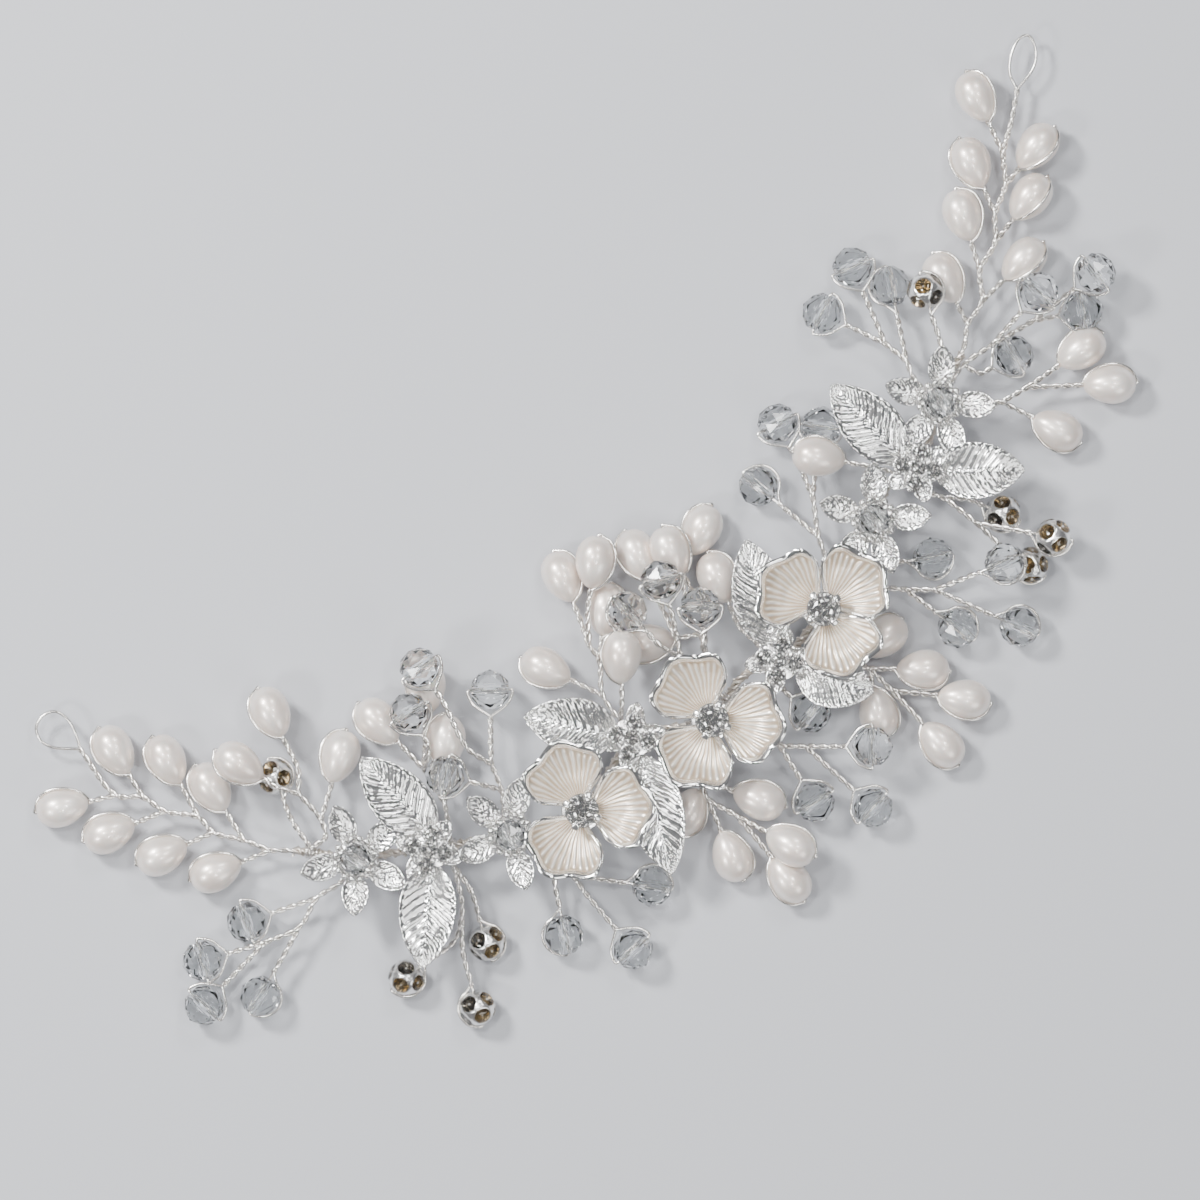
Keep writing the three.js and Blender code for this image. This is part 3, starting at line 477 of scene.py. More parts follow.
# For each spray its body, the points of its stem, and its twigs: the bead, where it sits, which
# point of the stem the twig forks off, and any points it passes on its way.
SPRAYS = {
    "left_flower_spray": ("left_wing", [(-61.5, 4.5, 5), (-59, 4.5, 5), (-58, 7, 5.2), (-58.5, 12, 6.4)], [
        ("ball", (-60, 16, 2.8), 0, (-61.5, 9.5, 4.4)),
        ("pearl", (-63, 20.5, 7.2), 3, (-60.5, 14.5, 7.2)),
        ("pearl", (-55, 24, 5), 3, (-56.5, 15, 6.2)),
        ("pearl", (-50.5, 13, 4), 2),
    ]),
    "left_crystal_spray": ("left_wing", [(-60.5, -2, 4), (-65, -2, 4), (-69.5, -4, 4), (-75, -3, 4)], [
        ("crystal", (-75.5, 1, 3.1), 1),
        ("crystal", (-84, 0, 3.1), 3),
        ("crystal", (-87.5, -5.5, 3.1), 3),
        ("crystal", (-80, -9, 3.1), 2, (-72.5, -5.5, 4)),
    ]),
    "left_mixed_spray": ("left_wing", [(-44, -5.5, 5), (-42, -1.5, 4.2), (-41.5, 4.5, 3.8)], [
        ("pearl", (-43, 14, 3.1), 2, (-42, 7.5, 3.8)),
        ("crystal", (-38.5, 12.5, 7.8), 2, (-39, 7, 6.4)),
        ("pearl", (-34.5, 14, 3), 2, (-38.5, 8.5, 3.2)),
        ("pearl", (-36.5, 6, 4), 1),
    ]),
    "left_high_crystal_spray": ("left_wing", [(-36.5, -9, 5), (-34, -4.5, 5.5), (-33, -0.5, 6.8)], [
        ("crystal", (-33.5, 17, 8.6), 2, (-34.5, 3.5, 8.2), (-33.5, 11, 8.6)),
        ("crystal", (-27, 8.5, 5), 2),
        ("crystal", (-39.5, 2, 8.4), 1, (-35.5, -2.5, 7.4)),
    ]),
    "left_ball_spray": ("left_wing", [(-45.5, -7.5, 4.8), (-46, -9.5, 4.4), (-48, -14.5, 4),
                                      (-49, -16, 3.9)], [
        ("ball", (-61, -19, 2.8), 3, (-52, -18.5, 3.6)),
        ("ball", (-48.5, -21.5, 2.8), 1, (-46, -14, 4.2)),
        ("ball", (-55, -28.5, 2.8), 3, (-52, -20.5, 3.6)),
    ]),
    "left_low_crystal_spray": ("left_wing", [(-31, -15.5, 4.8), (-33, -18, 4.5), (-32.5, -20, 4.4),
                                             (-31.5, -21.5, 4.4)], [
        ("crystal", (-38.5, -27, 3.1), 1, (-35, -19.5, 4.3)),
        ("crystal", (-31.5, -34.5, 3.1), 2, (-32.5, -23.5, 4.2)),
        ("crystal", (-24, -28.5, 3.1), 3),
    ]),
    "left_pearl_spray": ("left_wing", [(-14, -6, 4.9), (-14, -1.5, 5), (-11.5, 3, 5), (-11.5, 5.5, 5.2)], [
        ("pearl", (-18.5, 6.5, 3.4), 1),
        ("pearl", (-9, 16, 2.9), 3, (-10.5, 9, 4.4)),
        ("pearl", (-3.9, 15.1, 5.9), 3, (-9, 9.5, 5.8)),
        ("pearl", (-6.5, 8.5, 3.2), 2),
        ("pearl", (-8.5, 1.5, 8.6), 0, (-12, -3.5, 7.4)),
    ]),
    "centre_high_crystal_spray": ("centre", [(-3.5, -8.5, 5.2), (-2, -5, 5.6), (-1.5, -3.5, 6),
                                             (-0.5, -1, 6.5)], [
        ("crystal", (-4, 6.5, 9), 2, (-3, -0.5, 7.8)),
        ("crystal", (2.5, 7.5, 9.2), 3, (1, 2.5, 8)),
        ("pearl", (1.9, 12.4, 2.9), 3, (0.5, 4.5, 4.4)),
    ]),
    "centre_upper_pearl_spray": ("centre", [(-1, -8.5, 5.2), (1, -6, 5.2), (3.5, -2.5, 4.4)], [
        ("crystal", (5, 1, 8), 1, (2, -4, 7.2)),
        ("pearl", (6, 10, 5.2), 2, (4, 2.5, 4.8)),
        ("pearl", (11.5, 10, 2.9), 2, (5, 2, 3.2), (6.2, 7, 2.8)),
        ("pearl", (-4.2, 1, 2.9), 2, (1, -1.5, 3.6)),
    ]),
    "centre_lower_pearl_spray": ("centre", [(-8, -17.5, 5), (-9.5, -20.5, 4.8), (-10, -22.5, 4.6),
                                            (-8, -27, 4.4)], [
        ("pearl", (-4, -27, 4.6), 1, (-8, -21.5, 4.8)),
        ("pearl", (-12, -31.5, 2.9), 2),
        ("pearl", (-4, -35, 5.8), 3),
        ("pearl", (-7, -39, 2.9), 3, (-7.5, -31.5, 4)),
        ("pearl", (-13.5, -22.5, 2.9), 1),
    ]),
    "centre_crystal_spray": ("centre", [(1, -17, 5), (3, -22, 5), (6, -24.5, 5)], [
        ("crystal", (14, -30, 6.2), 2),
        ("crystal", (2.5, -32, 3.1), 1),
        ("crystal", (9, -37.5, 3.1), 2),
    ]),
    "right_two_twig_spray": ("right_wing", [(8, -16, 4.4), (8.5, -13.5, 5.1), (9, -10, 5.1),
                                            (8, -4.5, 4.2)], [
        ("crystal", (9.5, -21, 3.1), 0),
        ("pearl", (9.5, 3, 3.6), 3),
    ]),
    "right_crystal_spray": ("right_wing", [(22.5, -8.5, 4.9), (26, -10, 4.9), (31, -14, 4.9),
                                           (34.5, -16.5, 4.8)], [
        ("crystal", (37, -12.5, 3.2), 1, (32, -10, 4.4)),
        ("crystal", (34, -23, 3.1), 2),
        ("crystal", (45, -19, 7.2), 3),
        ("crystal", (41.5, -28, 3.1), 3),
    ]),
    "right_pearl_spray": ("right_wing", [(19.5, -13.5, 4.9), (19, -18.5, 4.9), (20, -20.5, 4.9),
                                         (21, -25, 4.6)], [
        ("pearl", (17.5, -26.5, 2.9), 2),
        ("pearl", (24.5, -18, 2.9), 1),
        ("pearl", (26.5, -25, 3.2), 2),
        ("pearl", (29, -32, 2.9), 3),
        ("pearl", (22.5, -35.5, 2.9), 3),
    ]),
    "right_upper_crystal_spray": ("right_wing", [(23, -7, 5), (24, -4, 5), (25, -0.5, 4.8),
                                                 (27.5, 4.5, 4.6)], [
        ("crystal", (34.5, 12.5, 3.1), 3, (29.5, 7, 4.2)),
        ("crystal", (29.5, 16.5, 3.1), 3, (28.5, 9, 4.2)),
        ("crystal", (22, 10.5, 3.1), 2),
    ]),
    "right_ball_spray": ("right_wing", [(40.5, -1, 4.9), (41.5, -4, 4.9), (43, -6, 5), (45, -12, 5.2)], [
        ("pearl", (31.5, 9, 7.4), 0, (38, 2.5, 6.4)),
        ("ball", (49, -13, 3.4), 2, (46, -8.5, 4.6)),
        ("ball", (53, -20, 5.6), 3),
        ("ball", (48, -21.5, 2.8), 3, (46, -16.5, 4.4)),
    ]),
    "right_mixed_spray": ("right_wing", [(50, 7, 5.2), (49.5, 11, 5), (50, 13, 5), (49, 17, 4.6)], [
        ("crystal", (51.5, 29, 3.1), 3),
        ("crystal", (44, 26, 3.1), 3),
        ("crystal", (54.5, 23.5, 3.1), 2),
        ("ball", (58, 20, 7.2), 0, (55, 11.5, 5.8)),
    ]),
    "right_high_crystal_spray": ("right_wing", [(53.5, 7, 5), (56.5, 8, 5.2), (61.5, 8, 5.4),
                                                (68.5, 7.5, 5)], [
        ("crystal", (71.5, 10.5, 7.8), 2),
        ("crystal", (80, 8, 5.8), 3),
        ("crystal", (75.5, 4.5, 3.1), 3),
        ("crystal", (63.5, 5, 3.1), 1, (58, 5.5, 4.6)),
    ]),
    "right_outer_pearl_spray": ("right_wing", [(51.5, 4, 5), (56, 1.5, 4.6), (58, 0.5, 4.5), (62.5, 0, 4)], [
        ("pearl", (72, 0, 2.9), 3),
        ("pearl", (72.5, -6.5, 2.9), 3),
        ("pearl", (62.5, -7.5, 2.9), 2),
    ]),
}


def clear_glass(name, tint, roughness):
    """Cut glass or crystal: clear, strongly refracting, faintly tinted."""
    made = new_material(name, {"Base Color": (*tint, 1), "Transmission Weight": 1, "IOR": 1.54})
    vary_polish(made, noise_over(made, 700), 0, roughness)
    return made


crystal_glass = clear_glass("crystal_glass", (0.97, 0.985, 0.99), 0.03)
stone_glass = clear_glass("stone_glass", (0.96, 0.95, 0.93), 0.02)
bright_silver = metal("bright_silver", (0.94, 0.93, 0.91), 0.24, 0.35, 700)
gold_foil = metal("gold_foil", (0.42, 0.33, 0.20), 0.12, 0, 900)
dark_foil = metal("dark_foil", (0.24, 0.22, 0.19), 0.12, 0, 900)
silver_foil = metal("silver_foil", (0.96, 0.96, 0.96), 0.07, 0, 900)


def solid(name, rings, material, closed=False):
    """A flat-shaded body from rings of points, each joined to the next; ends filled or closed."""
    points = [p for ring in rings for p in ring]
    count = len(rings[0])
    faces = []
    last = len(rings) if closed else len(rings) - 1
    for r in range(last):
        low, high = r * count, (r + 1) % len(rings) * count
        for i in range(count):
            j = (i + 1) % count
            # Rings of even and odd number are half a facet apart, so the split leans with them.
            if r % 2 == 0:
                faces += [(low + i, low + j, high + i), (low + j, high + j, high + i)]
            else:
                faces += [(low + i, low + j, high + j), (low + i, high + j, high + i)]
    if not closed:
        faces += [tuple(range(count))[::-1], tuple(range(last * count, last * count + count))]
    mesh = bpy.data.meshes.new(name)
    mesh.from_pydata(points, [], faces)
    mesh.materials.append(material)
    made = bpy.data.objects.new(name, mesh)
    bpy.context.collection.objects.link(made)
    select_only(made)
    bpy.ops.object.mode_set(mode="EDIT")
    bpy.ops.mesh.select_all(action="SELECT")
    bpy.ops.mesh.dissolve_limited(angle_limit=math.radians(1))
    bpy.ops.mesh.normals_make_consistent(inside=False)
    bpy.ops.object.mode_set(mode="OBJECT")
    return made


def ring(radius, height, count, shift=0.0):
    """Points of a level ring, turned by a share of one step."""
    step = 2 * math.pi / count
    return [(radius * math.cos((i + shift) * step), radius * math.sin((i + shift) * step), height)
            for i in range(count)]


def faceted_bead(name, size):
    """A clear bead cut in rows of triangles, its own Z along its bore."""
    rows = [ring(r * size * MM, h * size * BEAD_HALF, BEAD_FACETS, (i % 2) / 2)
            for i, (r, h) in enumerate(BEAD_OUTLINE)]
    rows.append(ring(BORE_RADIUS, 0, BEAD_FACETS, 0.5))
    return solid(name, rows, crystal_glass, closed=True)


bead_pattern = faceted_bead("bead_pattern", 1)


def brilliant(name, radius, depth, table, foil):
    """A round brilliant lying table up, its widest part at its origin, its back faces foiled."""
    steps = 8 if radius < SMALL_STONE else 10
    rings = [ring(r * radius, h * (depth if h < 0 else table), steps, (i % 2) / 2)
             for i, (r, h) in enumerate(BRILLIANT_OUTLINE)]
    stone = solid(name, rings, stone_glass)
    stone.data.materials.append(foil)
    for face in stone.data.polygons:
        face.material_index = 1 if face.normal.z < 0 else 0
    return stone


def joined(pieces, name):
    """Joins pieces into the first one, as one mesh with all their materials."""
    select_only(pieces[0])
    for piece in pieces[1:]:
        piece.select_set(True)
    bpy.ops.object.join()
    pieces[0].name = name
    return pieces[0]


def ready(piece, name, body, slot, *nodes):
    """Applies a finished piece's place to its mesh, gives it its body and hides its CAD node; the slot is
    not used.
    """
    select_only(piece)
    bpy.ops.object.transform_apply(location=True, rotation=True, scale=True)
    piece.name = name
    piece.data.name = name
    if nodes:
        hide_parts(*nodes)
    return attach(piece, body)


def ball_pattern():
    """Silver ball: a shell with a round stone in every cup, hollowed at both ends for the wire."""
    bpy.ops.object.select_all(action="DESELECT")
    bpy.ops.mesh.primitive_ico_sphere_add(subdivisions=4, radius=BALL_RADIUS)
    shell = bpy.context.object
    shell.data.materials.append(bright_silver)
    sites = []
    for level in (0, 1):
        for i in range(4):
            turn = math.pi / 2 * (i + level / 2)
            lean = BALL_CUP_LEAN if level == 0 else math.pi - BALL_CUP_LEAN
            sites.append(Vector((math.sin(lean) * math.cos(turn), math.sin(lean) * math.sin(turn),
                                 math.cos(lean))))
    for vertex in shell.data.vertices:
        outward = vertex.co.normalized()
        gap = min(math.acos(min(1, outward.dot(site))) for site in sites) * BALL_RADIUS
        hole = math.acos(min(1, abs(outward.z))) * BALL_RADIUS
        lip = BALL_LIP * math.exp(-((gap - BALL_STONE) / (0.18 * MM)) ** 2)
        lip += BALL_LIP * math.exp(-((hole - 0.75 * MM) / (0.2 * MM)) ** 2)
        cup = BALL_CUP_DEPTH * max(0.0, 1 - (gap / BALL_STONE) ** 4)
        cup += BALL_HOLE_DEPTH * max(0.0, 1 - (hole / BALL_HOLE) ** 4)
        vertex.co = outward * (BALL_RADIUS + lip - cup)
    bpy.ops.object.shade_smooth()
    parts = [shell]
    for i, site in enumerate(sites):
        foil = gold_foil if i % 3 else dark_foil
        stone = brilliant("ball_stone", 0.98 * BALL_STONE, BALL_STONE_DEPTH, BALL_STONE_TABLE, foil)
        stone.data.transform(pointing(site * (BALL_RADIUS - BALL_STONE_SINK), site))
        parts.append(stone)
    return joined(parts, "ball_pattern")


silver_ball = ball_pattern()


def hold_across(wires, at, heading, bore):
    """The wire through a bead that lies across its twig, both ends coming back round it."""
    loop = [at - heading * BEAD_NECK]
    for degrees in (152, 128, 106, 92):
        a = math.radians(degrees)
        loop.append(at + (BEAD_RADIUS + WIRE_GAP) * (math.cos(a) * heading + math.sin(a) * bore))
    loop.append(at + bore * (BEAD_HALF + 0.12 * MM))
    loop.append(at + bore * 1.2 * MM)
    back = [p - 2 * (p - at).dot(bore) * bore for p in reversed(loop)]
    lay(wires, smooth([p / MM for p in [*loop, *back]], STEP))


def hold_along(wires, at, heading, side, reach, half, width):
    """The wire lengthwise through a bead, coming back to the twig along one side of it."""
    back = [at - heading * reach, at + heading * (half + WIRE_GAP)]
    for degrees in (20, 45, 70, 90, 110, 135, 158):
        a = math.radians(degrees)
        ahead = (half + 0.3 * MM) * math.cos(a) * heading
        back.append(at + ahead + (width + 0.22 * MM) * math.sin(a) * side)
    back.append(at - heading * (reach + 0.2 * MM))
    lay(wires, smooth([p / MM for p in back], STEP))


def wind_on(wires, body, place):
    """A few turns of wire round the spine, where a spray starts."""
    spine = smooth(SPINE[body])
    start = Vector(place) * MM
    middle = min(range(len(spine)), key=lambda i: (spine[i] - start).length)
    stretch = spine[max(0, middle - WINDING_REACH):middle + WINDING_REACH + 1]
    if len(stretch) > WINDING_REACH:
        fine = smooth([p / MM for p in stretch], WINDING_STEP)
        twist(wires, fine, 1, WINDING_SPREAD, WINDING_PITCH, start=rng.uniform(0, math.pi))
    return spine[middle] / MM


for name, (body, stem, twigs) in SPRAYS.items():
    wires = new_wires()
    root = wind_on(wires, body, stem[0])
    twist(wires, smooth([root, *stem]), start=rng.uniform(0, math.pi))
    for i, (kind, at, fork, *way) in enumerate(twigs):
        way = [stem[fork], *way]
        bead_name = f"{name}_{kind}_{i + 1}"
        if kind == "pearl":
            add_pearl(wires, bead_name, at, way, rng.choice((-PEARL_WIRE_SIDE, PEARL_WIRE_SIDE)), body)
            continue
        at, last = Vector(at) * MM, Vector(way[-1]) * MM
        heading = (at - last).normalized()
        level = heading.cross(Vector((0, 0, 1))).normalized()
        side = level * rng.choice((-1, 1))
        if kind == "crystal":
            neck = at - heading * BEAD_NECK
            if rng.random() < HELD_ACROSS:
                bore = level
                hold_across(wires, at, heading, level)
            else:
                bore = heading
                hold_along(wires, at, heading, side, BEAD_NECK, BEAD_HALF, BEAD_RADIUS)
            bead_frame = pointing(at, bore, rng.uniform(0, math.pi))
            copy_of(bead_pattern, bead_name, bead_frame, body)
        else:
            neck = at - heading * BALL_NECK
            hold_along(wires, at, heading, side, BALL_NECK, BALL_RADIUS, BALL_RADIUS)
            bead_frame = pointing(at, heading, rng.uniform(0, math.pi))
            copy_of(silver_ball, bead_name, bead_frame, body)
        twist(wires, smooth([*way, neck / MM]), start=rng.uniform(0, math.pi))
    finish_wires(wires, f"{name}_wires", plated_wire, body, name)

for pattern in (pearl_pattern, bead_pattern, silver_ball):
    bpy.data.objects.remove(pattern)

# ---- Enamelled flowers ---------------------------------------------------------------------
# Cast flowers of three cupped petals, silver plated, each petal filled with champagne pearl
# enamel over fine radial ribs inside a thick polished rim. A round brilliant in four claws
# sits in the middle, and a collar underneath goes down to the hair, the spine running through.
PETAL_LENGTH = 9.9
PETAL_SPAN = math.radians(60)
PETAL_ROOT = 0.5
PETAL_HALF = 4.9
PETAL_CENTRE = 5.4
PETAL_LIFT = 7.1
PETAL_TILT = 0.16
PETAL_CUP = 0.06
PETAL_CORNER = 0.46
PETAL_WAVE = 0.3
PETAL_RIBS = 17
PETAL_SHEET = 0.55
PETAL_CLEARANCE = 0.3
SIDE_RIM = 0.85
END_RIM = 1.5
RIM_HEIGHT = 0.55
RIM_CREST = 0.45
RIB_HEIGHT = 0.24
SHANK = (2.3, 0, 6.35)
HUB = (3.0, 6.3, 7.4)
SEAT = (1.6, 7.3, 8.3)
BRILLIANT = (10.5, 2.4, 0.72)
CUP_WALL = 0.18 * MM
CLAW_LEAN = 0.4
ENAMEL_FLOWERS = {
    "left": ("left_wing", (-26, -13.5), (82, -30, -150)),
    "centre": ("centre", (-3, -13.5), (89, -38, -150)),
    "right": ("right_wing", (19.5, -9.5), (115, 6, -99)),
}


def champagne_enamel():
    """Pearly champagne enamel, glossy on top, with painted shade and highlight: darker and warmer in the
    grooves, pale and silvery on the rib crests.
    """
    made = new_material("champagne_enamel", {
        "Coat Weight": 1, "Coat Roughness": 0.08, "Subsurface Weight": 0.08,
        "Subsurface Scale": 0.5 * MM, "Roughness": 0.27, "Metallic": 0.5})
    rib = add_node(made, "ShaderNodeAttribute", {})
    rib.attribute_name = "rib"
    mixed = add_node(made, "ShaderNodeMath", {1: 0.5})
    mixed.operation = "MULTIPLY_ADD"
    made.node_tree.links.new(noise_over(made, 800), mixed.inputs[0])
    made.node_tree.links.new(rib.outputs["Fac"], mixed.inputs[2])
    # Painted shade and highlight: the rib mask, with a little noise, runs the colour from dark warm grooves
    # to pale rib crests.
    add_tint(made, mixed.outputs["Value"], (0.15, (0.62, 0.47, 0.32)), (1.0, (0.94, 0.89, 0.81)))
    return made


enamel = champagne_enamel()
polished_silver = metal("polished_silver", (0.94, 0.93, 0.91), 0.13, 0.25, 500)


def petal_outline(angle):
    """Length of a petal along a ray from its root: a fan with soft corners."""
    lean = min(1.3, abs(angle) / PETAL_SPAN)
    return PETAL_LENGTH * (1 - PETAL_CORNER * lean ** 3.6)


def petal_height(x, y):
    """Height of a petal's face without its ribs and rim, x out from the flower's middle."""
    from_centre = x - PETAL_CENTRE
    cup = PETAL_CUP * (max(from_centre, 0) ** 2 + y * y)
    return PETAL_LIFT + PETAL_TILT * (from_centre + PETAL_HALF) + cup


def under_petals(x, y):
    """How high a piece may reach at a place so that it stays below every enamelled petal."""
    lowest = math.inf
    for _, (cx, cy), petals in ENAMEL_FLOWERS.values():
        for degrees in petals:
            a = math.radians(degrees)
            ahead = (x - cx) * math.cos(a) + (y - cy) * math.sin(a)
            aside = (y - cy) * math.cos(a) - (x - cx) * math.sin(a)
            reach = math.hypot(ahead - PETAL_ROOT, aside)
            angle = math.atan2(aside, ahead - PETAL_ROOT)
            outside = max(0, reach - petal_outline(angle), (abs(angle) - PETAL_SPAN) * reach)
            under = petal_height(ahead, aside) - PETAL_SHEET - PETAL_CLEARANCE
            lowest = min(lowest, under + 1.5 * outside)
    return lowest


def enamel_petal(at, degrees, wave):
    """One cupped fan out from the flower's middle: ribbed inside, with a rolled rim."""
    bpy.ops.object.select_all(action="DESELECT")
    bpy.ops.mesh.primitive_grid_add(x_subdivisions=36, y_subdivisions=8 * PETAL_RIBS, size=2)
    petal = bpy.context.object
    ribs = petal.data.attributes.new("rib", "FLOAT", "POINT")
    edges = []
    for i, vertex in enumerate(petal.data.vertices):
        # Rows of the grid are drawn together near the edges, where the rim needs them.
        s = 1 - (1 - (vertex.co.x + 1) / 2) ** 1.7
        t = math.copysign(1 - (1 - abs(vertex.co.y)) ** 1.2, vertex.co.y)
        angle = t * PETAL_SPAN
        outer = petal_outline(angle) * (1 + 0.05 * math.cos(8.2 * angle + 0.2 * wave) * (1 - t ** 4))
        reach = s * outer
        x, y = PETAL_ROOT + reach * math.cos(angle), reach * math.sin(angle)
        # The rolled rim is narrow along the sides and broad at the end of the petal.
        edge = min((1 - s) * outer, (1 - abs(t)) * PETAL_SPAN * reach)
        edge /= SIDE_RIM + (END_RIM - SIDE_RIM) * s ** 4
        edges.append(edge)
        fade = min(1.0, max(0.0, edge - 0.85) / 0.7) * min(1.0, s / 0.25)
        waver = 1.6 * noise.noise(Vector((x * 0.45, y * 0.45, wave)))
        crest = (0.5 + 0.5 * math.cos(math.pi * PETAL_RIBS * (t + 1) + waver)) ** 1.8
        if edge > RIM_CREST:
            rim = math.exp(-((edge - RIM_CREST) / 0.36) ** 2)
        else:
            rim = 1 - 0.7 * (1 - edge / RIM_CREST) ** 2
        z = petal_height(x, y) + RIB_HEIGHT * crest * fade + RIM_HEIGHT * rim * min(1.0, s / 0.3)
        z += PETAL_WAVE * s * noise.noise(Vector((x * 0.35, y * 0.35, wave)))
        vertex.co = (x, y, z)
        # This rib mask paints the enamel's shade in the grooves and its highlight on the crests.
        ribs.data[i].value = crest * fade
    petal.data.materials.append(enamel)
    petal.data.materials.append(polished_silver)
    for face in petal.data.polygons:
        face.material_index = 1 if max(edges[i] for i in face.vertices) < 1 else 0
    apply_modifier(petal, "SOLIDIFY", thickness=PETAL_SHEET, offset=-1, material_offset=1,
                   material_offset_rim=1)
    bpy.ops.object.shade_smooth()
    turn = Matrix.Rotation(math.radians(degrees), 4, "Z")
    petal.data.transform(Matrix.Scale(MM, 4) @ Matrix.Translation((*at, 0)) @ turn)
    return petal


def plate(at, radius, bottom, top, rounding=0.15):
    """A round silver plate with softened edges."""
    bpy.ops.object.select_all(action="DESELECT")
    middle = ((bottom + top) / 2) * MM
    bpy.ops.mesh.primitive_cylinder_add(vertices=40, radius=radius * MM, depth=(top - bottom) * MM,
                                        location=(at[0] * MM, at[1] * MM, middle))
    made = bpy.context.object
    bpy.ops.object.transform_apply(location=True)
    apply_modifier(made, "BEVEL", width=rounding * MM, segments=3)
    bpy.ops.object.shade_smooth_by_angle(angle=math.radians(50))
    made.data.materials.append(bright_silver)
    return made


def chaton(at, top, radius, claw_radius):
    """One stone in its cup: returns the silver parts and the stone, in place, in metres."""
    x, y = at[0] * MM, at[1] * MM
    girdle = (top - 0.45) * MM
    bpy.ops.object.select_all(action="DESELECT")
    deep = (0.6 + 0.5 * radius) * MM
    bpy.ops.mesh.primitive_cone_add(vertices=24, radius1=0.5 * radius * MM, radius2=1.04 * radius * MM,
                                    depth=deep, end_fill_type="NOTHING", location=(x, y, girdle - deep / 2))
    cup = bpy.context.object
    bpy.ops.object.transform_apply(location=True)
    apply_modifier(cup, "SOLIDIFY", thickness=CUP_WALL)
    bpy.ops.object.shade_smooth_by_angle(angle=math.radians(40))
    cup.data.materials.append(bright_silver)
    silver = [cup]
    turn = rng.uniform(0, math.pi)
    for k in range(4):
        a = turn + k * math.pi / 2
        reach = radius * 0.93 * MM
        claw_at = (x + reach * math.cos(a), y + reach * math.sin(a), girdle + 0.3 * claw_radius * MM)
        bpy.ops.mesh.primitive_cube_add(size=1.7 * claw_radius * MM, location=claw_at)
        claw = bpy.context.object
        claw.rotation_euler = (Matrix.Rotation(a, 4, "Z") @ Matrix.Rotation(CLAW_LEAN, 4, "Y")).to_euler()
        claw.scale = (1, 1, 1.5)
        bpy.ops.object.transform_apply(location=True, rotation=True, scale=True)
        apply_modifier(claw, "BEVEL", width=0.5 * claw_radius * MM, segments=3)
        bpy.ops.object.shade_smooth()
        claw.data.materials.append(bright_silver)
        silver.append(claw)
    stone = brilliant("chaton", 0.95 * radius * MM, 0.7 * radius * MM, 0.36 * radius * MM, silver_foil)
    stone.data.transform(Matrix.Translation((x, y, girdle)) @ Matrix.Rotation(turn, 4, "Z"))
    return silver, stone


for name, (body, at, petals) in ENAMEL_FLOWERS.items():
    parts = [enamel_petal(at, degrees, rng.uniform(0, 6)) for degrees in petals]
    parts.append(plate(at, *HUB))
    parts.append(plate(at, *SHANK, 0.3))
    ready(joined(parts, "flower"), f"cast_flower_{name}", body, "enamel", f"enamel_flower_{name}")
    silver, stone = chaton(at, *BRILLIANT)
    silver.append(plate(at, *SEAT))
    ready(joined(silver, "setting"), f"flower_setting_{name}", body, "flower_silver")
    ready(stone, f"flower_brilliant_{name}", body, "rhinestone", f"flower_stone_{name}")

# ---- Leaves --------------------------------------------------------------------------------
# Stamped brass leaves, silver plated and mirror bright: a raised rim, a midrib and slanting
# veins pressed from behind, crinkled between them. Two leaves are brazed to a round bridge that
# is bound on the spine, with four small grained lobes between them.
LEAF_WIDTH = 4.2
LEAF_SHEET = 0.35
LEAF_ROOT = 6.4
LEAF_TIP = 7.6
LEAF_ARCH = 1.2
LEAF_FOLD = 0.12
ROUND_ROOT = 0.55
VEIN_SLANT = 2.4
BRIDGE_TOP = 6.7
BRIDGE = (3.0, 6.0, BRIDGE_TOP)
LOBE_SIZE = (5.0, 1.5)
LOBE_TURNS = (-35, 35, 145, 215)
LEAF_PAIRS = {
    "outer_left": ("left_wing", (-47.5, -5.5), (((-45.9, -4), (-48, 11)), ((-48.5, -7.5), (-58, -19)))),
    "inner_left": ("left_wing", (-14, -9), (((-15.5, -7.5), (-25, 2.5)), ((-14.5, -12), (-20.5, -28.5)))),
    "inner_right": ("right_wing", (10, -12), (((10.5, -9.5), (16, 5)), ((11.5, -14.5), (18.5, -23.5)))),
    "outer_right": ("right_wing", (42.5, -0.5), (((41.5, 1.5), (39, 16.5)), ((44.5, -2.5), (55, -9.5)))),
}
stamped_silver = metal("stamped_silver", (0.93, 0.925, 0.91), 0.18, 0.2, 1100)


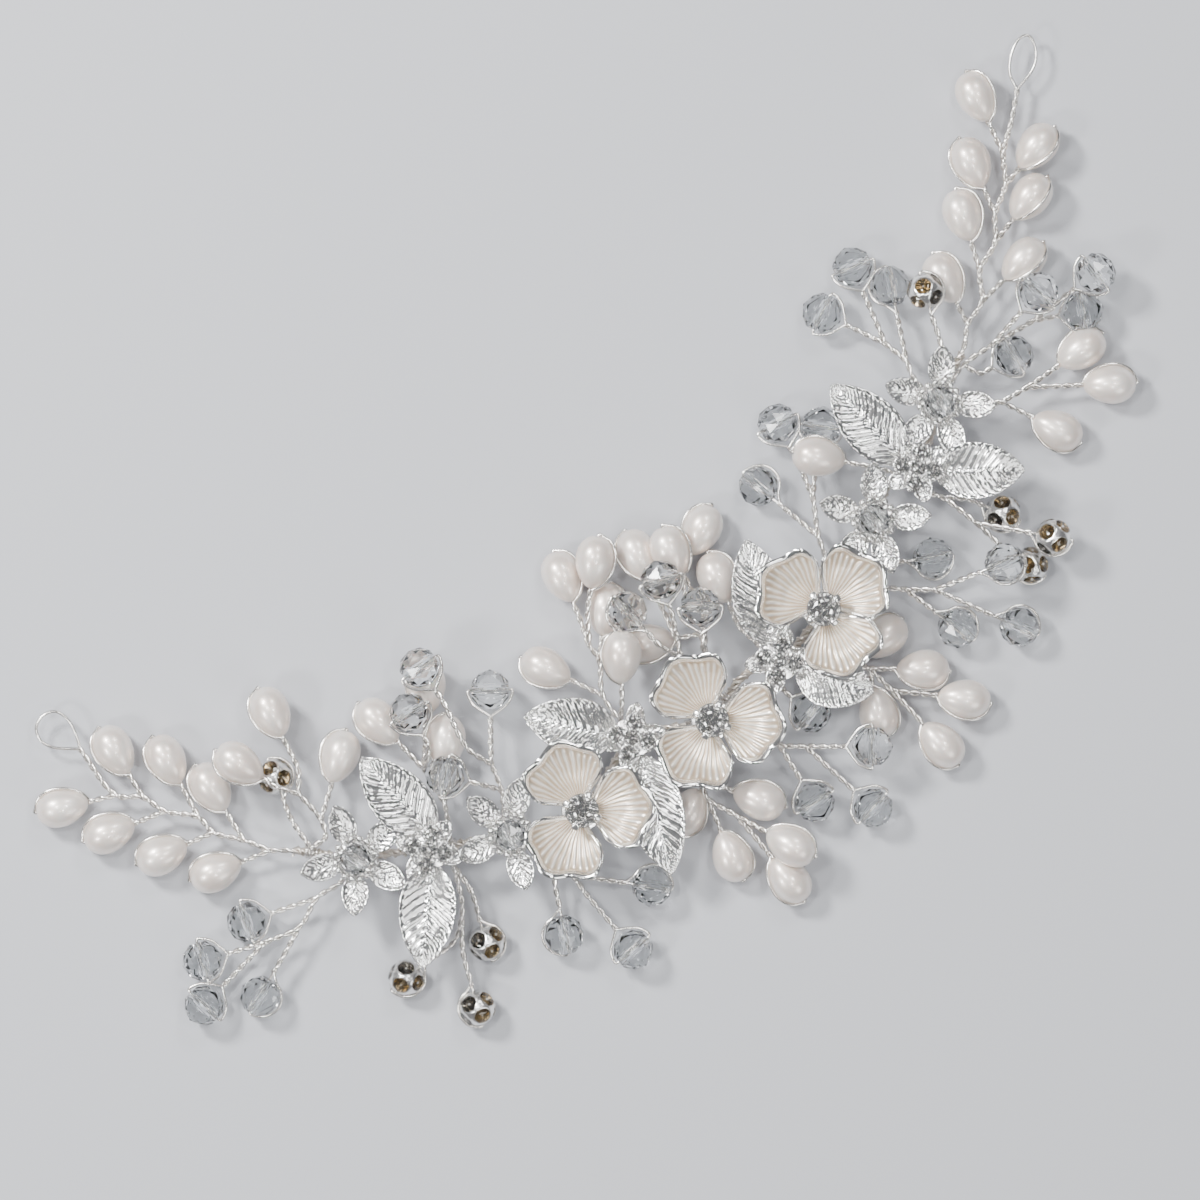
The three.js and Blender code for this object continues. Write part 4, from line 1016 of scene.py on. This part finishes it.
def stamped(at, degrees, size, rise, veins, relief, rough, grid, sheet=LEAF_SHEET, pointed=0.75, start=0.0):
    """A pointed stamped blade with a rim, midrib, veins and crinkle, pressed down where a petal
    lies over it. It leaves a place on a heading, in mm, and starts so far out from it."""
    length, width = size
    seed = rng.uniform(0, 50)
    bpy.ops.object.select_all(action="DESELECT")
    bpy.ops.mesh.primitive_grid_add(x_subdivisions=grid[0], y_subdivisions=grid[1], size=2)
    blade = bpy.context.object
    turn = math.radians(degrees)
    peak = ROUND_ROOT / (ROUND_ROOT + pointed)
    widest = peak ** ROUND_ROOT * (1 - peak) ** pointed
    for vertex in blade.data.vertices:
        u, v = (vertex.co.x + 1) / 2, vertex.co.y
        half = width * max(u, 0.0) ** ROUND_ROOT * max(1 - u, 0.0) ** pointed / widest
        x, y = u * length, v * half
        edge = (1 - abs(v)) * half
        inside = min(1.0, edge / 0.8)
        waver = noise.noise(Vector((x * 0.35, y * 0.5, seed + 7)))
        phase = u * veins - abs(v) * VEIN_SLANT + 0.3 * waver
        vein = math.exp(-((phase - round(phase)) / 0.21) ** 2) * inside * min(1.0, abs(y) / 0.5)
        rib = math.exp(-(y / 0.32) ** 2) * (1 - 0.6 * u)
        rim = math.exp(-((edge - 0.12) / 0.3) ** 2)
        crinkle = noise.noise(Vector((x * 1.1, y * 1.1, seed)))
        crinkle += 0.4 * noise.noise(Vector((x * 2.6, y * 2.6, seed)))
        z = rise(x, y) + relief * (1.5 * vein + 1.4 * rib + 1.2 * rim + rough * crinkle * inside)
        east = at[0] + (x + start) * math.cos(turn) - y * math.sin(turn)
        north = at[1] + (x + start) * math.sin(turn) + y * math.cos(turn)
        vertex.co = Vector((east, north, min(z, under_petals(east, north)))) * MM
    apply_modifier(blade, "SOLIDIFY", thickness=sheet * MM, offset=-1)
    bpy.ops.object.shade_smooth()
    blade.data.materials.append(stamped_silver)
    return blade


def leaf_rise(x, y, length):
    """Height of a leaf, arched along its length, its two halves folded up a little."""
    along = 2 * x / length - 1
    climb = (LEAF_ROOT + LEAF_TIP) / 2 + (LEAF_TIP - LEAF_ROOT) / 2 * along
    return climb + LEAF_ARCH * (1 - along ** 2) + LEAF_FOLD * abs(y)


def lobe_rise(x, y):
    """Height of a small lobe of a leaf pair's bridge."""
    return BRIDGE_TOP - 0.1 + 0.1 * x + 0.06 * y * y


for name, (body, at, leaves) in LEAF_PAIRS.items():
    headings = []
    for i, (root, tip) in enumerate(leaves):
        length = math.dist(root, tip)
        heading = math.degrees(math.atan2(tip[1] - root[1], tip[0] - root[0]))
        headings.append(heading)
        leaf = stamped(root, heading, (length, LEAF_WIDTH), lambda x, y: leaf_rise(x, y, length),
                       veins=11, relief=0.26, rough=0.2, grid=(84, 44))
        ready(leaf, f"leaf_{name}_{i + 1}", body, "leaf_silver")
    parts = [plate(at, *BRIDGE)]
    middle = sum(headings) / 2
    for turn in LOBE_TURNS:
        parts.append(stamped(at, middle + turn, LOBE_SIZE, lobe_rise, veins=5, relief=0.16, rough=0.4,
                             grid=(26, 14), pointed=0.5))
    ready(joined(parts, "bridge"), f"leaf_bridge_{name}", body, "leaf_silver", f"leaf_pair_{name}")

# ---- Clusters of small stones --------------------------------------------------------------
# Five 2.7 mm stones in round four-claw cups on a small hub, glued over each bridge. The foiled
# backs make the clear stones flash dark and bright.
CLUSTER_RING = 2.25
CLUSTER_HUB = (2.2, BRIDGE_TOP + 0.05, 7.6)
CLUSTER_TOP = 9.0
OUTER_STONES = 4
MIDDLE_LIFT = 0.4
CHATON_RADIUS = 1.35
CLAW_RADIUS = 0.36

for name, (body, at, _) in LEAF_PAIRS.items():
    silver = [plate(at, *CLUSTER_HUB)]
    stones = []
    for i in range(OUTER_STONES + 1):
        turn = 2 * math.pi * (i + 0.5) / OUTER_STONES
        reach = CLUSTER_RING if i < OUTER_STONES else 0
        lift = 0 if i < OUTER_STONES else MIDDLE_LIFT
        place = (at[0] + reach * math.cos(turn), at[1] + reach * math.sin(turn))
        cup, stone = chaton(place, CLUSTER_TOP + lift, CHATON_RADIUS, CLAW_RADIUS)
        silver += cup
        stones.append(stone)
    ready(joined(silver, "cups"), f"cluster_cups_{name}", body, "leaf_silver")
    ready(joined(stones, "stones"), f"cluster_stones_{name}", body, "rhinestone", f"stone_cluster_{name}")

# ---- Small flowers -------------------------------------------------------------------------
# Five stamped almond petals with a coarse grain and a raised rim on a small plate, a ring of
# silver grains, and a clear faceted bead in the middle, held down by a wire through it.
FLOWER_PETAL = (5.8, 2.0)
FLOWER_ROOT = 2.3
FLOWER_LIFT = 6.1
FLOWER_PLATE = (2.9, 5.9, 6.5)
FLOWER_BEAD_SIZE = 0.8
FLOWER_BEAD_HEIGHT = 9.2
FLOWER_BEAD_TURN = 36
FLOWER_WIRE_DROP = 3.1 * MM
GRAINS = 16
GRAIN_RADIUS = 0.56
GRAIN_RING = 2.95
GRAIN_HEIGHT = 7.2
SMALL_FLOWERS = {
    "outer_left": ("left_wing", (-57, -0.5), (77, 160, -126, -64, 5)),
    "inner_left": ("left_wing", (-36.5, -10.5), (46, 105, 170, -109, -40)),
    "inner_right": ("right_wing", (33, -3), (55, 128, -161, -106, -31)),
    "outer_right": ("right_wing", (50.5, 5.5), (52, 127, -163, -105, -38)),
}


def flower_rise(x, y):
    """Height of a small petal, its root tucked in and its sides and tip turned up."""
    return FLOWER_LIFT + 0.2 * x + 0.05 * (max(x - 2.9, 0) ** 2 + y * y)


for name, (body, at, petals) in SMALL_FLOWERS.items():
    parts = [plate(at, *FLOWER_PLATE)]
    for degrees in petals:
        parts.append(stamped(at, degrees, FLOWER_PETAL, flower_rise, veins=6, relief=0.24, rough=0.55,
                             grid=(40, 22), sheet=0.3, pointed=0.62, start=FLOWER_ROOT))
    for x, y, z in ring(GRAIN_RING * MM, GRAIN_HEIGHT * MM, GRAINS):
        bpy.ops.mesh.primitive_uv_sphere_add(segments=12, ring_count=8, radius=GRAIN_RADIUS * MM,
                                             location=(at[0] * MM + x, at[1] * MM + y, z))
        grain = bpy.context.object
        bpy.ops.object.transform_apply(location=True)
        bpy.ops.object.shade_smooth()
        grain.data.materials.append(polished_silver)
        parts.append(grain)
    ready(joined(parts, "flower"), f"stamped_flower_{name}", body, "flower_silver", f"small_flower_{name}")
    # The bead lies on its side, its hole level; the wire comes up, through it and down again.
    middle = Vector((*at, FLOWER_BEAD_HEIGHT)) * MM
    turn = math.radians(petals[0] + FLOWER_BEAD_TURN)
    bore = Vector((math.cos(turn), math.sin(turn), 0))
    bead = faceted_bead("flower_bead", FLOWER_BEAD_SIZE)
    bead.data.transform(pointing(middle, bore))
    ready(bead, f"flower_bead_{name}", body, "crystal", f"small_flower_bead_{name}")
    wires = new_wires()
    low = Vector((0, 0, FLOWER_WIRE_DROP))
    end = FLOWER_BEAD_SIZE * BEAD_HALF
    rise = [middle - bore * (end - 0.2 * MM) - low, middle - bore * (end + 0.4 * MM) - low * 0.45,
            middle - bore * (end + 0.2 * MM), middle - bore * 1.2 * MM]
    through = [*rise, *[p - 2 * (p - middle).dot(bore) * bore for p in reversed(rise)]]
    lay(wires, smooth([p / MM for p in through]))
    finish_wires(wires, f"flower_bead_wire_{name}", plated_wire, body)
